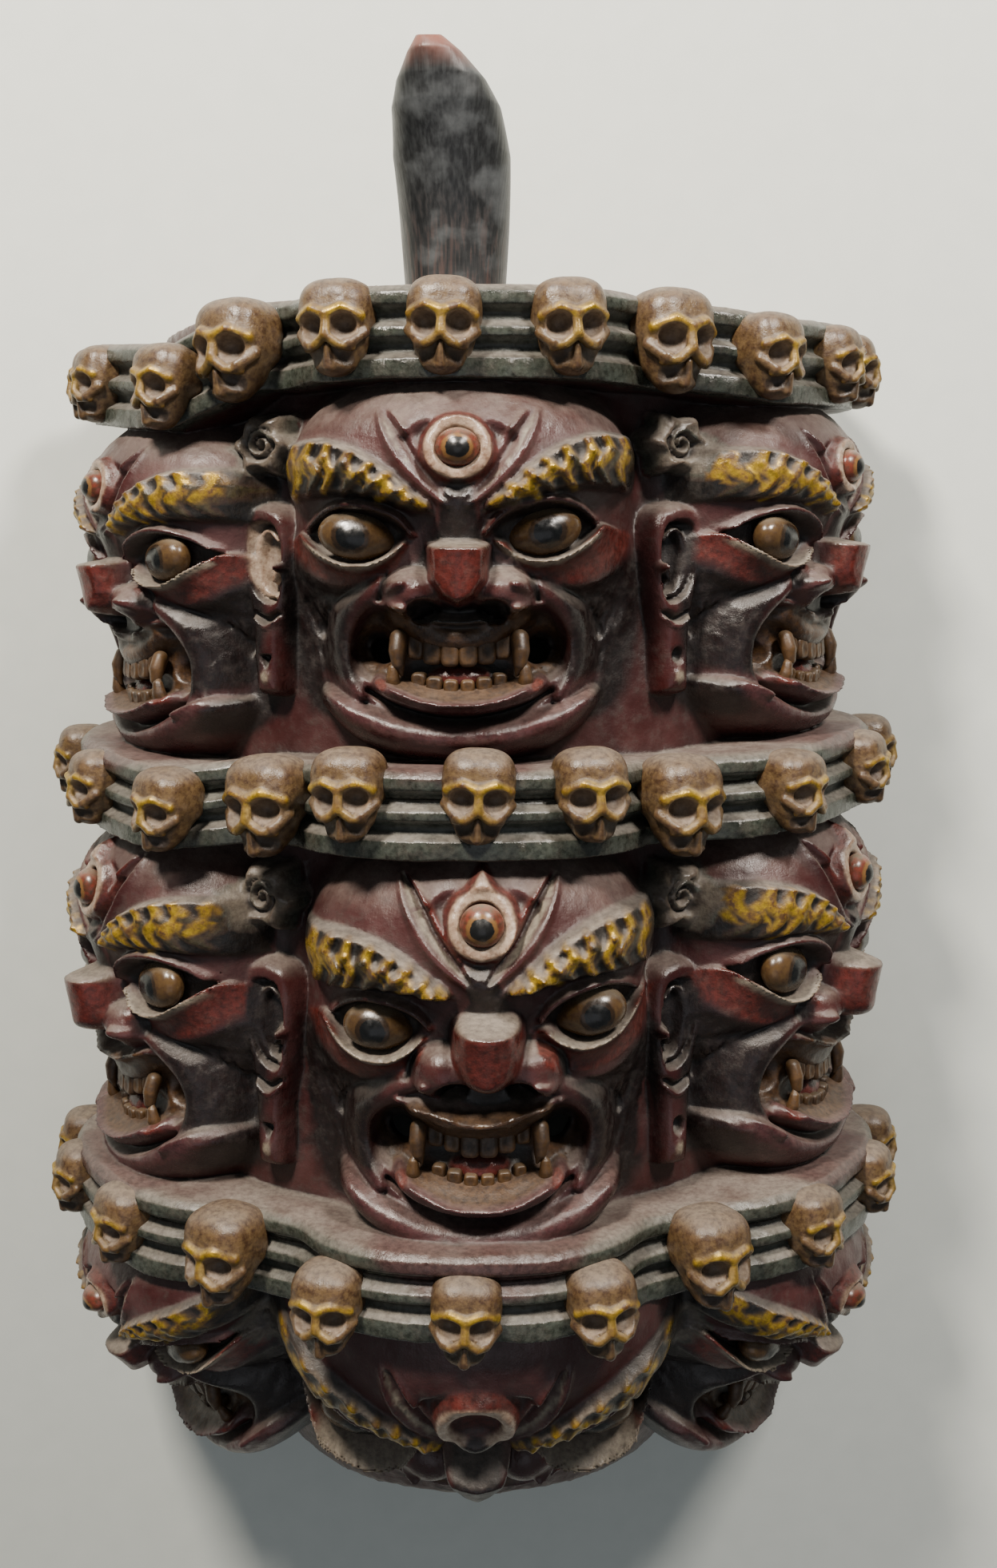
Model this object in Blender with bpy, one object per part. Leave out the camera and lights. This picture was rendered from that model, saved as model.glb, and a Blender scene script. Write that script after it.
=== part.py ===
"""Nine-headed carved ceremonial mask lying on its back, with a black horn finial.

X runs to the viewer's right, +Y runs up the mask to the horn, +Z runs out of the faces.
The open back rim lies on z = 0.
"""
import math

import bmesh
import bpy
import numpy as np

# Overall carving
STEP_M = 0.0030
MASK_TRIANGLES = 9050
WALL = 0.018
TOP_Y = 0.228
BOTTOM_Y = -0.402
HULL_R_TOP = 0.174
HULL_R_LOW = 0.186
HULL_R_CHIN = 0.118
HULL_BEND_Y = -0.262
NECK_R = 0.082
NECK_TOP_Y = -0.360

# Azimuths round the half circle, in degrees
SIDE_AZIMUTH = 56.0
CORNER_AZIMUTH = 31.5
FAR_AZIMUTH = 84.0

# Crown bands
BAND_RIB_GROOVE = 0.0045
BAND_GROOVE_DEPTH = 0.0055
LOBE_HALF_WIDTH = 0.094
LOBE_DEPTH = 0.105

# Skulls on a crown band, from the left end to the right: size and seat behind the front
SKULL_SIZES = (0.90, 0.90, 0.95, 1.12, 1.0, 1.0, 1.0, 1.12, 0.95, 0.90, 0.90)
SKULL_SEATS = (0.006, 0.002, 0.003, 0.016, 0.004, 0.004, 0.004, 0.016, 0.003, 0.002, 0.006)

# Ears stand this far out of the body
EAR_STAND = 0.005

# Horn finial
HORN_STEP = 0.0016
HORN_TRIANGLES = 760
HORN_X = -0.0075
HORN_Z = 0.150
HORN_SEAT_GAP = 0.0003
HORN_HEIGHT = 0.1125
HORN_HALF_WIDTH = 0.028
HORN_HALF_DEPTH = 0.025
HORN_LEAN_X = -0.011
HORN_LEAN_Z = 0.036
HORN_SLIT_HALF = 0.0016
HORN_SLIT_BLEND = 0.0008
HORN_ROOM = 0.012
HORN_LEVELS = (0.0, 0.30, 0.58, 0.75, 0.84, 0.93, 1.0)
HORN_WIDTHS = (0.84, 0.92, 0.98, 0.90, 0.74, 0.46, 0.18)
HORN_DEPTHS = (1.00, 0.95, 0.95, 0.92, 0.84, 0.66, 0.30)

# Azimuths at which a crown band is raised or lowered, and the rise there in each tier
LIFT_AZIMUTHS = (-84.0, -43.0, -31.0, 31.0, 43.0, 84.0)

# Tier: lower edge of the band, band height, band front radius, kind of nose, how far the
# nose and mouth sit below their usual height in millimetres, and rise, then for the
# middle and the outer heads the front radius, width scale, upper and lower height scale,
# tilt, and sideways shift; then the azimuths of the skulls and how high the middle three sit
TIERS = {
    "top": dict(edge=0.187, band=0.041, band_r=0.216, nose="cut", nose_drop=-10.0, mouth_lift=-6.0,
                rise=(-0.002, -0.018, 0.0, 0.0, -0.005, 0.002),
                middle=dict(radius=0.205, wide=0.97, tall=0.84, low=0.84, tilt=0.0, shift=-0.005),
                outer=dict(radius=0.207, wide=0.89, tall=0.81, low=0.81, tilt=0.0, shift=0.0),
                skulls=(-76.0, -62.0, -43.0, -33.0, -16.0, -3.0, 12.0, 27.5, 41.5, 57.5, 72.0),
                skull_lift=0.002),
    "mid": dict(edge=-0.022, band=0.041, band_r=0.230, nose="bulb", nose_drop=0.0, mouth_lift=-6.0,
                rise=(0.003, -0.012, -0.006, -0.006, -0.003, 0.008),
                middle=dict(radius=0.214, wide=1.00, tall=0.98, low=1.00, tilt=0.0, shift=0.004),
                outer=dict(radius=0.217, wide=0.92, tall=0.94, low=0.94, tilt=0.0, shift=0.0),
                skulls=(-76.0, -58.0, -40.5, -26.5, -14.0, 1.0, 14.0, 27.5, 43.5, 62.0, 76.0),
                skull_lift=0.009),
    "low": dict(edge=-0.257, band=0.042, band_r=0.240, nose="cut", nose_drop=0.0, mouth_lift=-6.0,
                rise=(0.014, 0.006, 0.004, 0.004, 0.008, 0.014),
                middle=dict(radius=0.226, wide=1.24, tall=1.26, low=0.70, tilt=42.0, shift=0.002),
                outer=dict(radius=0.233, wide=0.94, tall=0.68, low=0.82, tilt=27.0, shift=0.0),
                skulls=(-77.0, -65.0, -49.0, -33.0, -16.5, -0.5, 15.0, 31.5, 46.5, 64.0, 77.0),
                skull_lift=-0.009),
}
FOLD_V = -104.0


def clear_objects():
    """Remove every object the scene starts with."""
    for item in list(bpy.data.objects):
        bpy.data.objects.remove(item, do_unlink=True)


def unit(vector):
    """Return the vector at length one."""
    return vector / np.linalg.norm(vector)


class Frame:
    """A place on the mask: u to the right, v up, w outward, in scaled metres."""

    def __init__(self, azimuth, radius, height, tilt=0.0, shift=0.0, wide=1.0, tall=1.0, low=1.0):
        turn = math.radians(azimuth)
        lean = math.radians(tilt)
        out = np.array([math.sin(turn), 0.0, math.cos(turn)])
        up = np.array([0.0, 1.0, 0.0])
        self.u = np.array([math.cos(turn), 0.0, -math.sin(turn)])
        self.v = unit(up * math.cos(lean) + out * math.sin(lean))
        self.w = unit(out * math.cos(lean) - up * math.sin(lean))
        self.origin = out * radius + up * height + self.u * shift
        self.wide = wide
        self.tall = tall
        self.low = low

    def scale(self, v):
        """Height scale at a local height."""
        return self.tall if v > FOLD_V else self.low

    def height(self, v):
        """Scaled local height; the lower face has a scale of its own."""
        return max(v, FOLD_V) * self.tall + min(v - FOLD_V, 0.0) * self.low

    def point(self, place):
        """World point of a local place given in millimetres."""
        offset = self.u * (place[0] * self.wide) + self.v * self.height(place[1])
        return self.origin + (offset + self.w * (place[2] * self.wide)) * 0.001


class Field:
    """A grid of signed distances in metres, negative inside the wood."""

    def __init__(self, low, high, step):
        self.step = step
        self.low = np.array(low)
        count = np.round((np.array(high) - self.low) / step).astype(int) + 1
        self.axes = [self.low[i] + step * np.arange(count[i]) for i in range(3)]
        self.value = np.full(tuple(count), 1.0, dtype=np.float32)

    def window(self, centre, reach):
        """Slices of the grid round a centre and the coordinates inside them."""
        cut = []
        for i in range(3):
            first = int(math.floor((centre[i] - reach - self.low[i]) / self.step))
            last = int(math.ceil((centre[i] + reach - self.low[i]) / self.step)) + 1
            cut.append(slice(max(first, 0), max(min(last, len(self.axes[i])), 0)))
        x = self.axes[0][cut[0]][:, None, None]
        y = self.axes[1][cut[1]][None, :, None]
        z = self.axes[2][cut[2]][None, None, :]
        return tuple(cut), x, y, z

    def add(self, cut, shape, blend):
        """Grow the wood by a shape with a soft seam."""
        self.value[cut] = soft_min(self.value[cut], shape, blend)

    def carve(self, cut, shape, blend):
        """Take a shape out of the wood with a soft seam."""
        self.value[cut] = -soft_min(-self.value[cut], shape, blend)


def soft_min(first, second, blend):
    """Smooth union of two distances."""
    mix = np.clip(0.5 + 0.5 * (second - first) / blend, 0.0, 1.0)
    return second * (1.0 - mix) + first * mix - blend * mix * (1.0 - mix)


def local(frame, place, x, y, z):
    """Local u, v, w distances in metres from a place of the frame."""
    centre = frame.point(place)
    du = frame.u[0] * (x - centre[0]) + frame.u[1] * (y - centre[1]) + frame.u[2] * (z - centre[2])
    dv = frame.v[0] * (x - centre[0]) + frame.v[1] * (y - centre[1]) + frame.v[2] * (z - centre[2])
    dw = frame.w[0] * (x - centre[0]) + frame.w[1] * (y - centre[1]) + frame.w[2] * (z - centre[2])
    return du, dv, dw


def egg(field, frame, place, radii, blend=4.0, carve=False, spin=0.0):
    """Ellipsoid with radii in millimetres; spin turns it in the plane of the face."""
    tall = frame.scale(place[1])
    size = np.array([radii[0] * frame.wide, radii[1] * tall, radii[2] * frame.wide]) * 0.001
    reach = float(size.max()) + blend * 0.001 + 2.0 * field.step
    cut, x, y, z = field.window(frame.point(place), reach)
    du, dv, dw = local(frame, place, x, y, z)
    turn = math.radians(spin)
    right = du * math.cos(turn) + dv * math.sin(turn)
    above = dv * math.cos(turn) - du * math.sin(turn)
    near = np.sqrt((right / size[0]) ** 2 + (above / size[1]) ** 2 + (dw / size[2]) ** 2)
    steep = np.sqrt((right / size[0] ** 2) ** 2 + (above / size[1] ** 2) ** 2 + (dw / size[2] ** 2) ** 2)
    shape = near * (near - 1.0) / np.maximum(steep, 1e-6)
    action = field.carve if carve else field.add
    action(cut, shape.astype(np.float32), blend * 0.001)


def rod(field, frame, places, radii, blend=3.0, carve=False):
    """Chain of tapered round bars through places in millimetres."""
    points = [frame.point(place) for place in places]
    thick = [radius * 0.001 * frame.wide for radius in radii]
    for i in range(len(points) - 1):
        start = points[i]
        along = points[i + 1] - start
        length = float(along @ along)
        reach = 0.5 * math.sqrt(length) + max(thick[i], thick[i + 1]) + blend * 0.001 + 2.0 * field.step
        cut, x, y, z = field.window(start + 0.5 * along, reach)
        px = x - start[0]
        py = y - start[1]
        pz = z - start[2]
        part = np.clip((px * along[0] + py * along[1] + pz * along[2]) / length, 0.0, 1.0)
        gap = np.sqrt((px - part * along[0]) ** 2 + (py - part * along[1]) ** 2 + (pz - part * along[2]) ** 2)
        shape = gap - (thick[i] + part * (thick[i + 1] - thick[i]))
        action = field.carve if carve else field.add
        action(cut, shape.astype(np.float32), blend * 0.001)


def ring(field, frame, place, radius, thick, tall=1.0, blend=2.0, carve=False):
    """Round ring lying in the plane of the face."""
    steps = 14
    places = []
    for i in range(steps + 1):
        turn = 2.0 * math.pi * i / steps
        across = place[0] + radius * math.cos(turn)
        above = place[1] + radius * tall * math.sin(turn) * frame.wide / frame.tall
        places.append((across, above, place[2]))
    rod(field, frame, places, [thick] * len(places), blend, carve)


def both(places, side):
    """Mirror places to one side."""
    return [(place[0] * side, place[1], place[2]) for place in places]


def face_base(field, frame):
    """Smooth mass of one head: forehead, cheeks and jaw."""
    egg(field, frame, (0.0, -44.0, -38.0), (83.0, 56.0, 60.0), 12.0)
    egg(field, frame, (0.0, -96.0, -50.0), (83.0, 82.0, 60.0), 12.0)
    egg(field, frame, (0.0, -158.0, -44.0), (64.0, 46.0, 52.0), 14.0)


def third_eye(field, frame):
    """Ring and ball on the forehead with two grooves beside them."""
    ring(field, frame, (0.0, -37.0, 22.0), 14.5, 3.4, 1.05, 2.0)
    egg(field, frame, (0.0, -37.0, 20.0), (8.5, 8.5, 9.0), 1.5)
    for side in (-1.0, 1.0):
        groove = both([(33.0, -17.0, 15.0), (24.0, -42.0, 22.0), (8.0, -62.0, 22.0)], side)
        rod(field, frame, groove, (2.6, 3.0, 2.6), 2.0, True)


def eyes(field, frame):
    """Sockets, balls, lids, brows and the rolls under the eyes."""
    for side in (-1.0, 1.0):
        egg(field, frame, (48.0 * side, -84.0, 14.0), (27.0, 15.0, 17.0), 5.0, True, -8.0 * side)
        egg(field, frame, (47.0 * side, -86.0, -1.0), (19.0, 13.5, 14.0), 1.5)
        lid = both([(24.0, -88.0, 9.0), (38.0, -74.0, 12.0), (56.0, -73.0, 7.0), (74.0, -86.0, -6.0)], side)
        rod(field, frame, lid, (2.6, 3.4, 3.4, 2.6), 2.0)
        roll = both([(27.0, -96.0, 12.0), (42.0, -105.0, 11.0), (60.0, -106.0, 4.0), (78.0, -94.0, -12.0)], side)
        rod(field, frame, roll, (4.5, 7.0, 7.6, 5.0), 3.5)
        brow = both([(15.0, -68.0, 18.0), (32.0, -58.0, 19.0), (52.0, -46.0, 12.0), (78.0, -37.0, -12.0)], side)
        rod(field, frame, brow, (6.0, 8.6, 9.6, 7.5), 3.0)
        fold = both([(31.0, -104.0, 8.0), (50.0, -122.0, 3.0), (58.0, -146.0, -4.0), (50.0, -172.0, -4.0)], side)
        rod(field, frame, fold, (6.0, 8.0, 7.5, 6.0), 6.0)


def nose(field, frame, kind, drop):
    """Bridge, tip, wings and nostrils."""
    bridge = [(0.0, -60.0, 13.0), (0.0, -74.0 + 0.5 * drop, 17.0), (0.0, -88.0 + drop, 23.0)]
    rod(field, frame, bridge, (7.0, 9.0, 12.0), 4.0)
    if kind == "bulb":
        egg(field, frame, (0.0, -90.0 + drop, 24.0), (16.0, 16.5, 18.0), 2.5)
    else:
        rod(field, frame, [(0.0, -80.0 + drop, 22.0), (0.0, -93.0 + drop, 26.0)], (9.0, 12.5), 3.0)
    for side in (-1.0, 1.0):
        egg(field, frame, (21.0 * side, -99.0 + drop, 15.0), (11.5, 10.5, 13.0), 2.5)
        egg(field, frame, (13.0 * side, -112.0 + drop, 20.0), (6.0, 5.0, 8.0), 1.5, True)


def mouth(field, frame, lift):
    """Lips, open mouth, teeth and the roll of the chin."""
    egg(field, frame, (0.0, -143.0 + lift, 12.0), (42.0, 15.0, 24.0), 4.0, True)
    upper = [(-36.0, -126.0 + lift, 6.0), (-18.0, -125.0 + lift, 13.0), (0.0, -127.0 + lift, 15.0),
             (18.0, -125.0 + lift, 13.0), (36.0, -126.0 + lift, 6.0)]
    rod(field, frame, upper, (5.0, 6.0, 6.5, 6.0, 5.0), 3.0)
    lower = [(-38.0, -158.0 + lift, 4.0), (-22.0, -165.0 + lift, 10.0), (0.0, -168.0 + lift, 13.0),
             (22.0, -165.0 + lift, 10.0), (38.0, -158.0 + lift, 4.0)]
    rod(field, frame, lower, (5.0, 6.0, 6.5, 6.0, 5.0), 3.0)
    chin = [(-50.0, -172.0, -6.0), (-30.0, -186.0, 3.0), (0.0, -191.0, 7.0), (30.0, -186.0, 3.0),
            (50.0, -172.0, -6.0)]
    rod(field, frame, chin, (7.0, 9.0, 10.0, 9.0, 7.0), 5.0)
    for side in (-1.0, 1.0):
        rod(field, frame, both([(5.0, -138.0 + lift, 4.0), (24.0, -137.0 + lift, 0.0)], side), (5.5, 5.5), 2.0)
        rod(field, frame, both([(27.0, -134.0 + lift, 2.0), (27.0, -150.0 + lift, 6.0)], side), (4.6, 2.4), 1.5)
    rod(field, frame, [(-22.0, -155.0 + lift, -1.0), (22.0, -155.0 + lift, -1.0)], (4.6, 4.6), 2.0)


def mouth_holes(field, frame, lift):
    """Two openings through the wall at the corners of the mouth."""
    for side in (-1.0, 1.0):
        inner = (37.0 * side, -143.0 + lift, -50.0)
        outer = (37.0 * side, -143.0 + lift, 20.0)
        rod(field, frame, [inner, outer], (6.0, 6.0), 1.0, True)


def ear(field, frame, top):
    """One long ear with its curled rim, hollow and slit lobe."""
    egg(field, frame, (0.0, top - 34.0, 3.0), (19.0, 39.0, 12.5), 3.5)
    egg(field, frame, (0.0, top - 34.0, 16.0), (11.5, 27.0, 10.0), 2.5, True)
    rod(field, frame, [(0.0, top - 62.0, 5.0), (1.0, top - 104.0, 5.0)], (9.0, 8.0), 3.0)
    rod(field, frame, [(0.0, top - 90.0, 15.0), (0.0, top - 100.0, 15.0)], (3.0, 3.0), 1.5, True)


def rosette(field, frame, place):
    """Five-petalled flower above an ear."""
    for i in range(5):
        turn = math.radians(90.0 + 72.0 * i)
        spot = (place[0] + 10.0 * math.cos(turn), place[1] + 10.0 * math.sin(turn), place[2])
        egg(field, frame, spot, (7.5, 7.5, 6.5), 1.5)
    egg(field, frame, (place[0], place[1], place[2] + 3.0), (5.5, 5.5, 6.0), 1.5)


def skull(field, frame, size):
    """Small skull on the crown band."""
    egg(field, frame, (0.0, 5.0 * size, 0.0), (16.8 * size, 16.8 * size, 16.0 * size), 2.0)
    egg(field, frame, (0.0, -10.5 * size, 2.5 * size), (13.2 * size, 12.0 * size, 12.5 * size), 3.0)
    for side in (-1.0, 1.0):
        spot = (8.4 * side * size, -1.0 * size, 14.0 * size)
        egg(field, frame, spot, (5.8 * size, 5.2 * size, 6.5 * size), 1.2, True)
        slope = both([(3.0 * size, -8.5 * size, 16.0 * size), (11.0 * size, -13.5 * size, 11.5 * size)], side)
        rod(field, frame, slope, (2.4 * size, 3.0 * size), 1.0, True)


def lobe_distance(frame, x, z, front):
    """Plan distance from the rounded crown over one head."""
    cx = frame.w[0] * (front - LOBE_DEPTH)
    cz = frame.w[2] * (front - LOBE_DEPTH)
    du = frame.u[0] * (x - cx) + frame.u[2] * (z - cz)
    dw = frame.w[0] * (x - cx) + frame.w[2] * (z - cz)
    power = 2.6
    ratio = (np.abs(du) / LOBE_HALF_WIDTH) ** power + (np.abs(dw) / LOBE_DEPTH) ** power
    return (ratio ** (1.0 / power) - 1.0) * 0.5 * (LOBE_HALF_WIDTH + LOBE_DEPTH)


def band_rise(tier, azimuth):
    """Height by which the crown band is raised at an azimuth."""
    return np.interp(azimuth, LIFT_AZIMUTHS, tier["rise"])


def head_frame(tier, azimuth, head):
    """Frame of one head under its crown band."""
    edge = tier["edge"] + float(band_rise(tier, azimuth))
    return Frame(azimuth, head["radius"], edge, head["tilt"], head["shift"], head["wide"], head["tall"],
                 head["low"])


def tier_frames(tier):
    """The three face frames of a tier."""
    frames = [head_frame(tier, 0.0, tier["middle"])]
    for side in (-1.0, 1.0):
        frames.append(head_frame(tier, side * SIDE_AZIMUTH, tier["outer"]))
    return frames


def crown(field, tier):
    """Ribbed band over the three heads of a tier."""
    x = field.axes[0][:, None, None]
    z = field.axes[2][None, None, :]
    plain = [Frame(azimuth, 0.0, 0.0) for azimuth in (0.0, -SIDE_AZIMUTH, SIDE_AZIMUTH)]
    plan = np.hypot(x, z) - (tier["band_r"] - 0.026)
    for frame in plain:
        plan = soft_min(plan, lobe_distance(frame, x, z, tier["band_r"]), 0.006)
    rise = band_rise(tier, np.degrees(np.arctan2(x, z)))
    low = tier["edge"]
    high = low + tier["band"]
    first = int((low - 0.045 - field.low[1]) / field.step)
    last = int((high + 0.045 - field.low[1]) / field.step) + 1
    last = min(last, len(field.axes[1]))
    y = field.axes[1][first:last][None, :, None] - rise
    across = np.zeros_like(y)
    for part in (1.0 / 3.0, 2.0 / 3.0):
        gap = np.abs(y - (low + part * tier["band"])) / BAND_RIB_GROOVE
        across = np.maximum(across, np.clip(1.5 - gap, 0.0, 1.0))
    wall = plan + across * BAND_GROOVE_DEPTH
    slab = np.maximum(low - y, y - high)
    shape = np.maximum(wall, slab).astype(np.float32)
    cut = (slice(None), slice(first, last), slice(None))
    field.add(cut, shape, 0.0015)


def hull_radius(y):
    """Outer radius of the body behind the heads."""
    upper = np.interp(y, [HULL_BEND_Y, TOP_Y], [HULL_R_LOW, HULL_R_TOP])
    lower = np.interp(y, [BOTTOM_Y, HULL_BEND_Y], [HULL_R_CHIN, HULL_R_LOW])
    return np.where(y > HULL_BEND_Y, upper, lower)


def hull(field):
    """Half round body behind the heads."""
    x = field.axes[0][:, None, None]
    y = field.axes[1][None, :, None]
    z = field.axes[2][None, None, :]
    side = np.hypot(x, z) - hull_radius(y)
    ends = np.maximum(BOTTOM_Y - y, y - TOP_Y)
    field.value[:] = np.maximum(side, ends)


def hollow(field):
    """Distance field of the open inside, one wall thickness in from the plain masses."""
    plain = Field(field.low, [axis[-1] for axis in field.axes], field.step)
    hull(plain)
    for tier in TIERS.values():
        for frame in tier_frames(tier):
            face_base(plain, frame)
    x = plain.axes[0][:, None, None]
    y = plain.axes[1][None, :, None]
    z = plain.axes[2][None, None, :]
    space = plain.value + WALL
    neck = np.maximum(np.hypot(x, z) - NECK_R, y - NECK_TOP_Y)
    space = soft_min(space, neck, 0.012)
    return np.maximum(space, y - (TOP_Y - WALL))


def mesh_from_field(name, field):
    """Closed triangle mesh of the zero level, cell by cell through six tetrahedra."""
    value = field.value.astype(np.float64)
    floor = 0.04 * field.step
    value = np.where(np.abs(value) < floor, np.where(value < 0.0, -floor, floor), value)
    nx, ny, nz = value.shape
    inside = value < 0.0
    total = np.zeros((nx - 1, ny - 1, nz - 1), dtype=np.int8)
    for corner in range(8):
        i, j, k = corner & 1, (corner >> 1) & 1, corner >> 2
        total += inside[i:nx - 1 + i, j:ny - 1 + j, k:nz - 1 + k]
    cell = np.argwhere((total > 0) & (total < 8))
    base = (cell[:, 0] * ny + cell[:, 1]) * nz + cell[:, 2]
    flat = value.ravel()
    stride = (ny * nz, nz, 1)
    keys = []
    for first, second, third, parity in ((0, 1, 2, 1), (1, 2, 0, 1), (2, 0, 1, 1),
                                         (1, 0, 2, 0), (0, 2, 1, 0), (2, 1, 0, 0)):
        corner = [base, base + stride[first]]
        corner.append(corner[1] + stride[second])
        corner.append(corner[2] + stride[third])
        code = sum((flat[corner[n]] < 0.0).astype(int) << n for n in range(4))
        for case, triangles in tetra_cases().items():
            rows = np.nonzero(code == case)[0]
            if len(rows) == 0:
                continue
            for triangle in triangles:
                ends = []
                for a, b in triangle:
                    low = corner[min(a, b)][rows]
                    high = corner[max(a, b)][rows]
                    ends.append(low * np.int64(flat.size) + high)
                if parity == 0:
                    ends = [ends[0], ends[2], ends[1]]
                keys.append(np.stack(ends, axis=1))
    corners = np.concatenate(keys)
    edge, index = np.unique(corners.ravel(), return_inverse=True)
    low = edge // flat.size
    high = edge % flat.size
    part = flat[low] / (flat[low] - flat[high])
    points = np.empty((len(edge), 3))
    for axis, size in enumerate(stride):
        dim = value.shape[axis]
        at_low = (low // size) % dim
        at_high = (high // size) % dim
        points[:, axis] = field.low[axis] + field.step * (at_low + part * (at_high - at_low))
    faces = index.reshape(-1, 3)
    mesh = bpy.data.meshes.new(name)
    mesh.from_pydata(points.tolist(), [], faces.tolist())
    mesh.update()
    return mesh


def tetra_cases():
    """Triangles of each inside pattern of a tetrahedron, as pairs of its corners."""
    cases = {}
    for code in range(1, 15):
        inner = [n for n in range(4) if code >> n & 1]
        outer = [n for n in range(4) if not code >> n & 1]
        if len(inner) == 1:
            a = inner[0]
            loop = [(a, n) for n in outer]
            turn = even_order([a] + outer)
        elif len(inner) == 3:
            a = outer[0]
            loop = [(a, n) for n in inner]
            turn = not even_order([a] + inner)
        else:
            a, b = inner
            c, d = outer
            loop = [(a, c), (a, d), (b, d), (b, c)]
            turn = even_order([a, b, c, d])
        if not turn:
            loop = loop[::-1]
        cases[code] = [(loop[0], loop[n], loop[n + 1]) for n in range(1, len(loop) - 1)]
    return cases


def even_order(order):
    """True when the order of four corners is an even permutation."""
    swaps = sum(1 for i in range(4) for j in range(i + 1, 4) if order[i] > order[j])
    return swaps % 2 == 0


def biggest_piece(mesh):
    """Keep only the largest connected piece of a mesh."""
    work = bmesh.new()
    work.from_mesh(mesh)
    seen = set()
    pieces = []
    for start in work.verts:
        if start.index in seen:
            continue
        stack = [start]
        seen.add(start.index)
        piece = []
        while stack:
            vert = stack.pop()
            piece.append(vert)
            for edge in vert.link_edges:
                other = edge.other_vert(vert)
                if other.index not in seen:
                    seen.add(other.index)
                    stack.append(other)
        pieces.append(piece)
    pieces.sort(key=len, reverse=True)
    for piece in pieces[1:]:
        bmesh.ops.delete(work, geom=piece, context="VERTS")
    work.to_mesh(mesh)
    work.free()


def finish(name, mesh, triangles, colour, planes):
    """Reduce the mesh, square up its flat faces and give it a material."""
    biggest_piece(mesh)
    item = bpy.data.objects.new(name, mesh)
    bpy.context.scene.collection.objects.link(item)
    reduce = item.modifiers.new("reduce", "DECIMATE")
    reduce.ratio = min(1.0, triangles / len(mesh.polygons))
    reduce.use_collapse_triangulate = True
    evaluated = item.evaluated_get(bpy.context.evaluated_depsgraph_get())
    reduced = bpy.data.meshes.new_from_object(evaluated)
    item.modifiers.clear()
    item.data = reduced
    bpy.data.meshes.remove(mesh)
    reduced.name = name
    for vert in reduced.vertices:
        place = [round(value, 6) for value in vert.co]
        for axis, level, reach in planes:
            if abs(place[axis] - level) < reach:
                place[axis] = level
        vert.co = place
    material = bpy.data.materials.new(name + "_finish")
    material.use_nodes = True
    shader = material.node_tree.nodes["Principled BSDF"]
    shader.inputs["Base Color"].default_value = colour
    shader.inputs["Roughness"].default_value = 0.6
    reduced.materials.clear()
    reduced.materials.append(material)
    return item


def build_mask():
    """Carve the nine heads, their crowns, ears and hollow inside."""
    field = Field((-0.282, -0.450, -0.009), (0.282, 0.252, 0.291), STEP_M)
    hull(field)
    space = hollow(field)
    for tier in TIERS.values():
        for frame in tier_frames(tier):
            face_base(field, frame)
        crown(field, tier)
    for tier in TIERS.values():
        lift = tier["mouth_lift"]
        for frame in tier_frames(tier):
            third_eye(field, frame)
            eyes(field, frame)
            nose(field, frame, tier["nose"], tier["nose_drop"])
            mouth(field, frame, lift)
        ears_of_tier(field, tier)
        skulls_of_tier(field, tier)
    field.value = np.maximum(field.value, -space)
    for tier in TIERS.values():
        for frame in tier_frames(tier):
            mouth_holes(field, frame, tier["mouth_lift"])
    z = field.axes[2][None, None, :]
    y = field.axes[1][None, :, None]
    field.value = np.maximum(field.value, -z)
    field.value = np.maximum(field.value, np.where(y > TOP_Y - 0.004, seat_cut(field), -1.0))
    mesh = mesh_from_field("mask", field)
    planes = ((2, 0.0, 0.0008),)
    return finish("mask", mesh, MASK_TRIANGLES, (0.10, 0.04, 0.035, 1.0), planes)


def seat_cut(field):
    """Keep the top flat where the horn stands."""
    x = field.axes[0][:, None, None]
    y = field.axes[1][None, :, None]
    z = field.axes[2][None, None, :]
    ring_gap = np.hypot(x - HORN_X, z - HORN_Z) - (HORN_HALF_WIDTH + 0.008)
    return np.minimum(y - TOP_Y, 1.0) * (ring_gap < 0.0) - 1.0 * (ring_gap >= 0.0)


def ears_of_tier(field, tier):
    """Ears and flowers between the heads and behind the outer heads."""
    head = tier["outer"]
    for azimuth in (-FAR_AZIMUTH, -CORNER_AZIMUTH, CORNER_AZIMUTH, FAR_AZIMUTH):
        edge = tier["edge"] + float(band_rise(tier, azimuth))
        radius = float(hull_radius(np.array(edge))) + EAR_STAND
        frame = Frame(azimuth, radius, edge, head["tilt"], 0.0, 1.0, 0.96 * head["tall"], head["low"])
        ear(field, frame, -56.0)
        rosette(field, frame, (0.0, -30.0, 6.0))


def skulls_of_tier(field, tier):
    """The ring of skulls round a crown band."""
    centre = tier["edge"] + 0.5 * tier["band"]
    middle = len(SKULL_SIZES) // 2
    for number, azimuth in enumerate(tier["skulls"]):
        height = centre + float(band_rise(tier, azimuth))
        if abs(number - middle) <= 1:
            height = height + tier["skull_lift"]
        place = Frame(azimuth, tier["band_r"] - SKULL_SEATS[number], height)
        skull(field, place, SKULL_SIZES[number])


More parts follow.
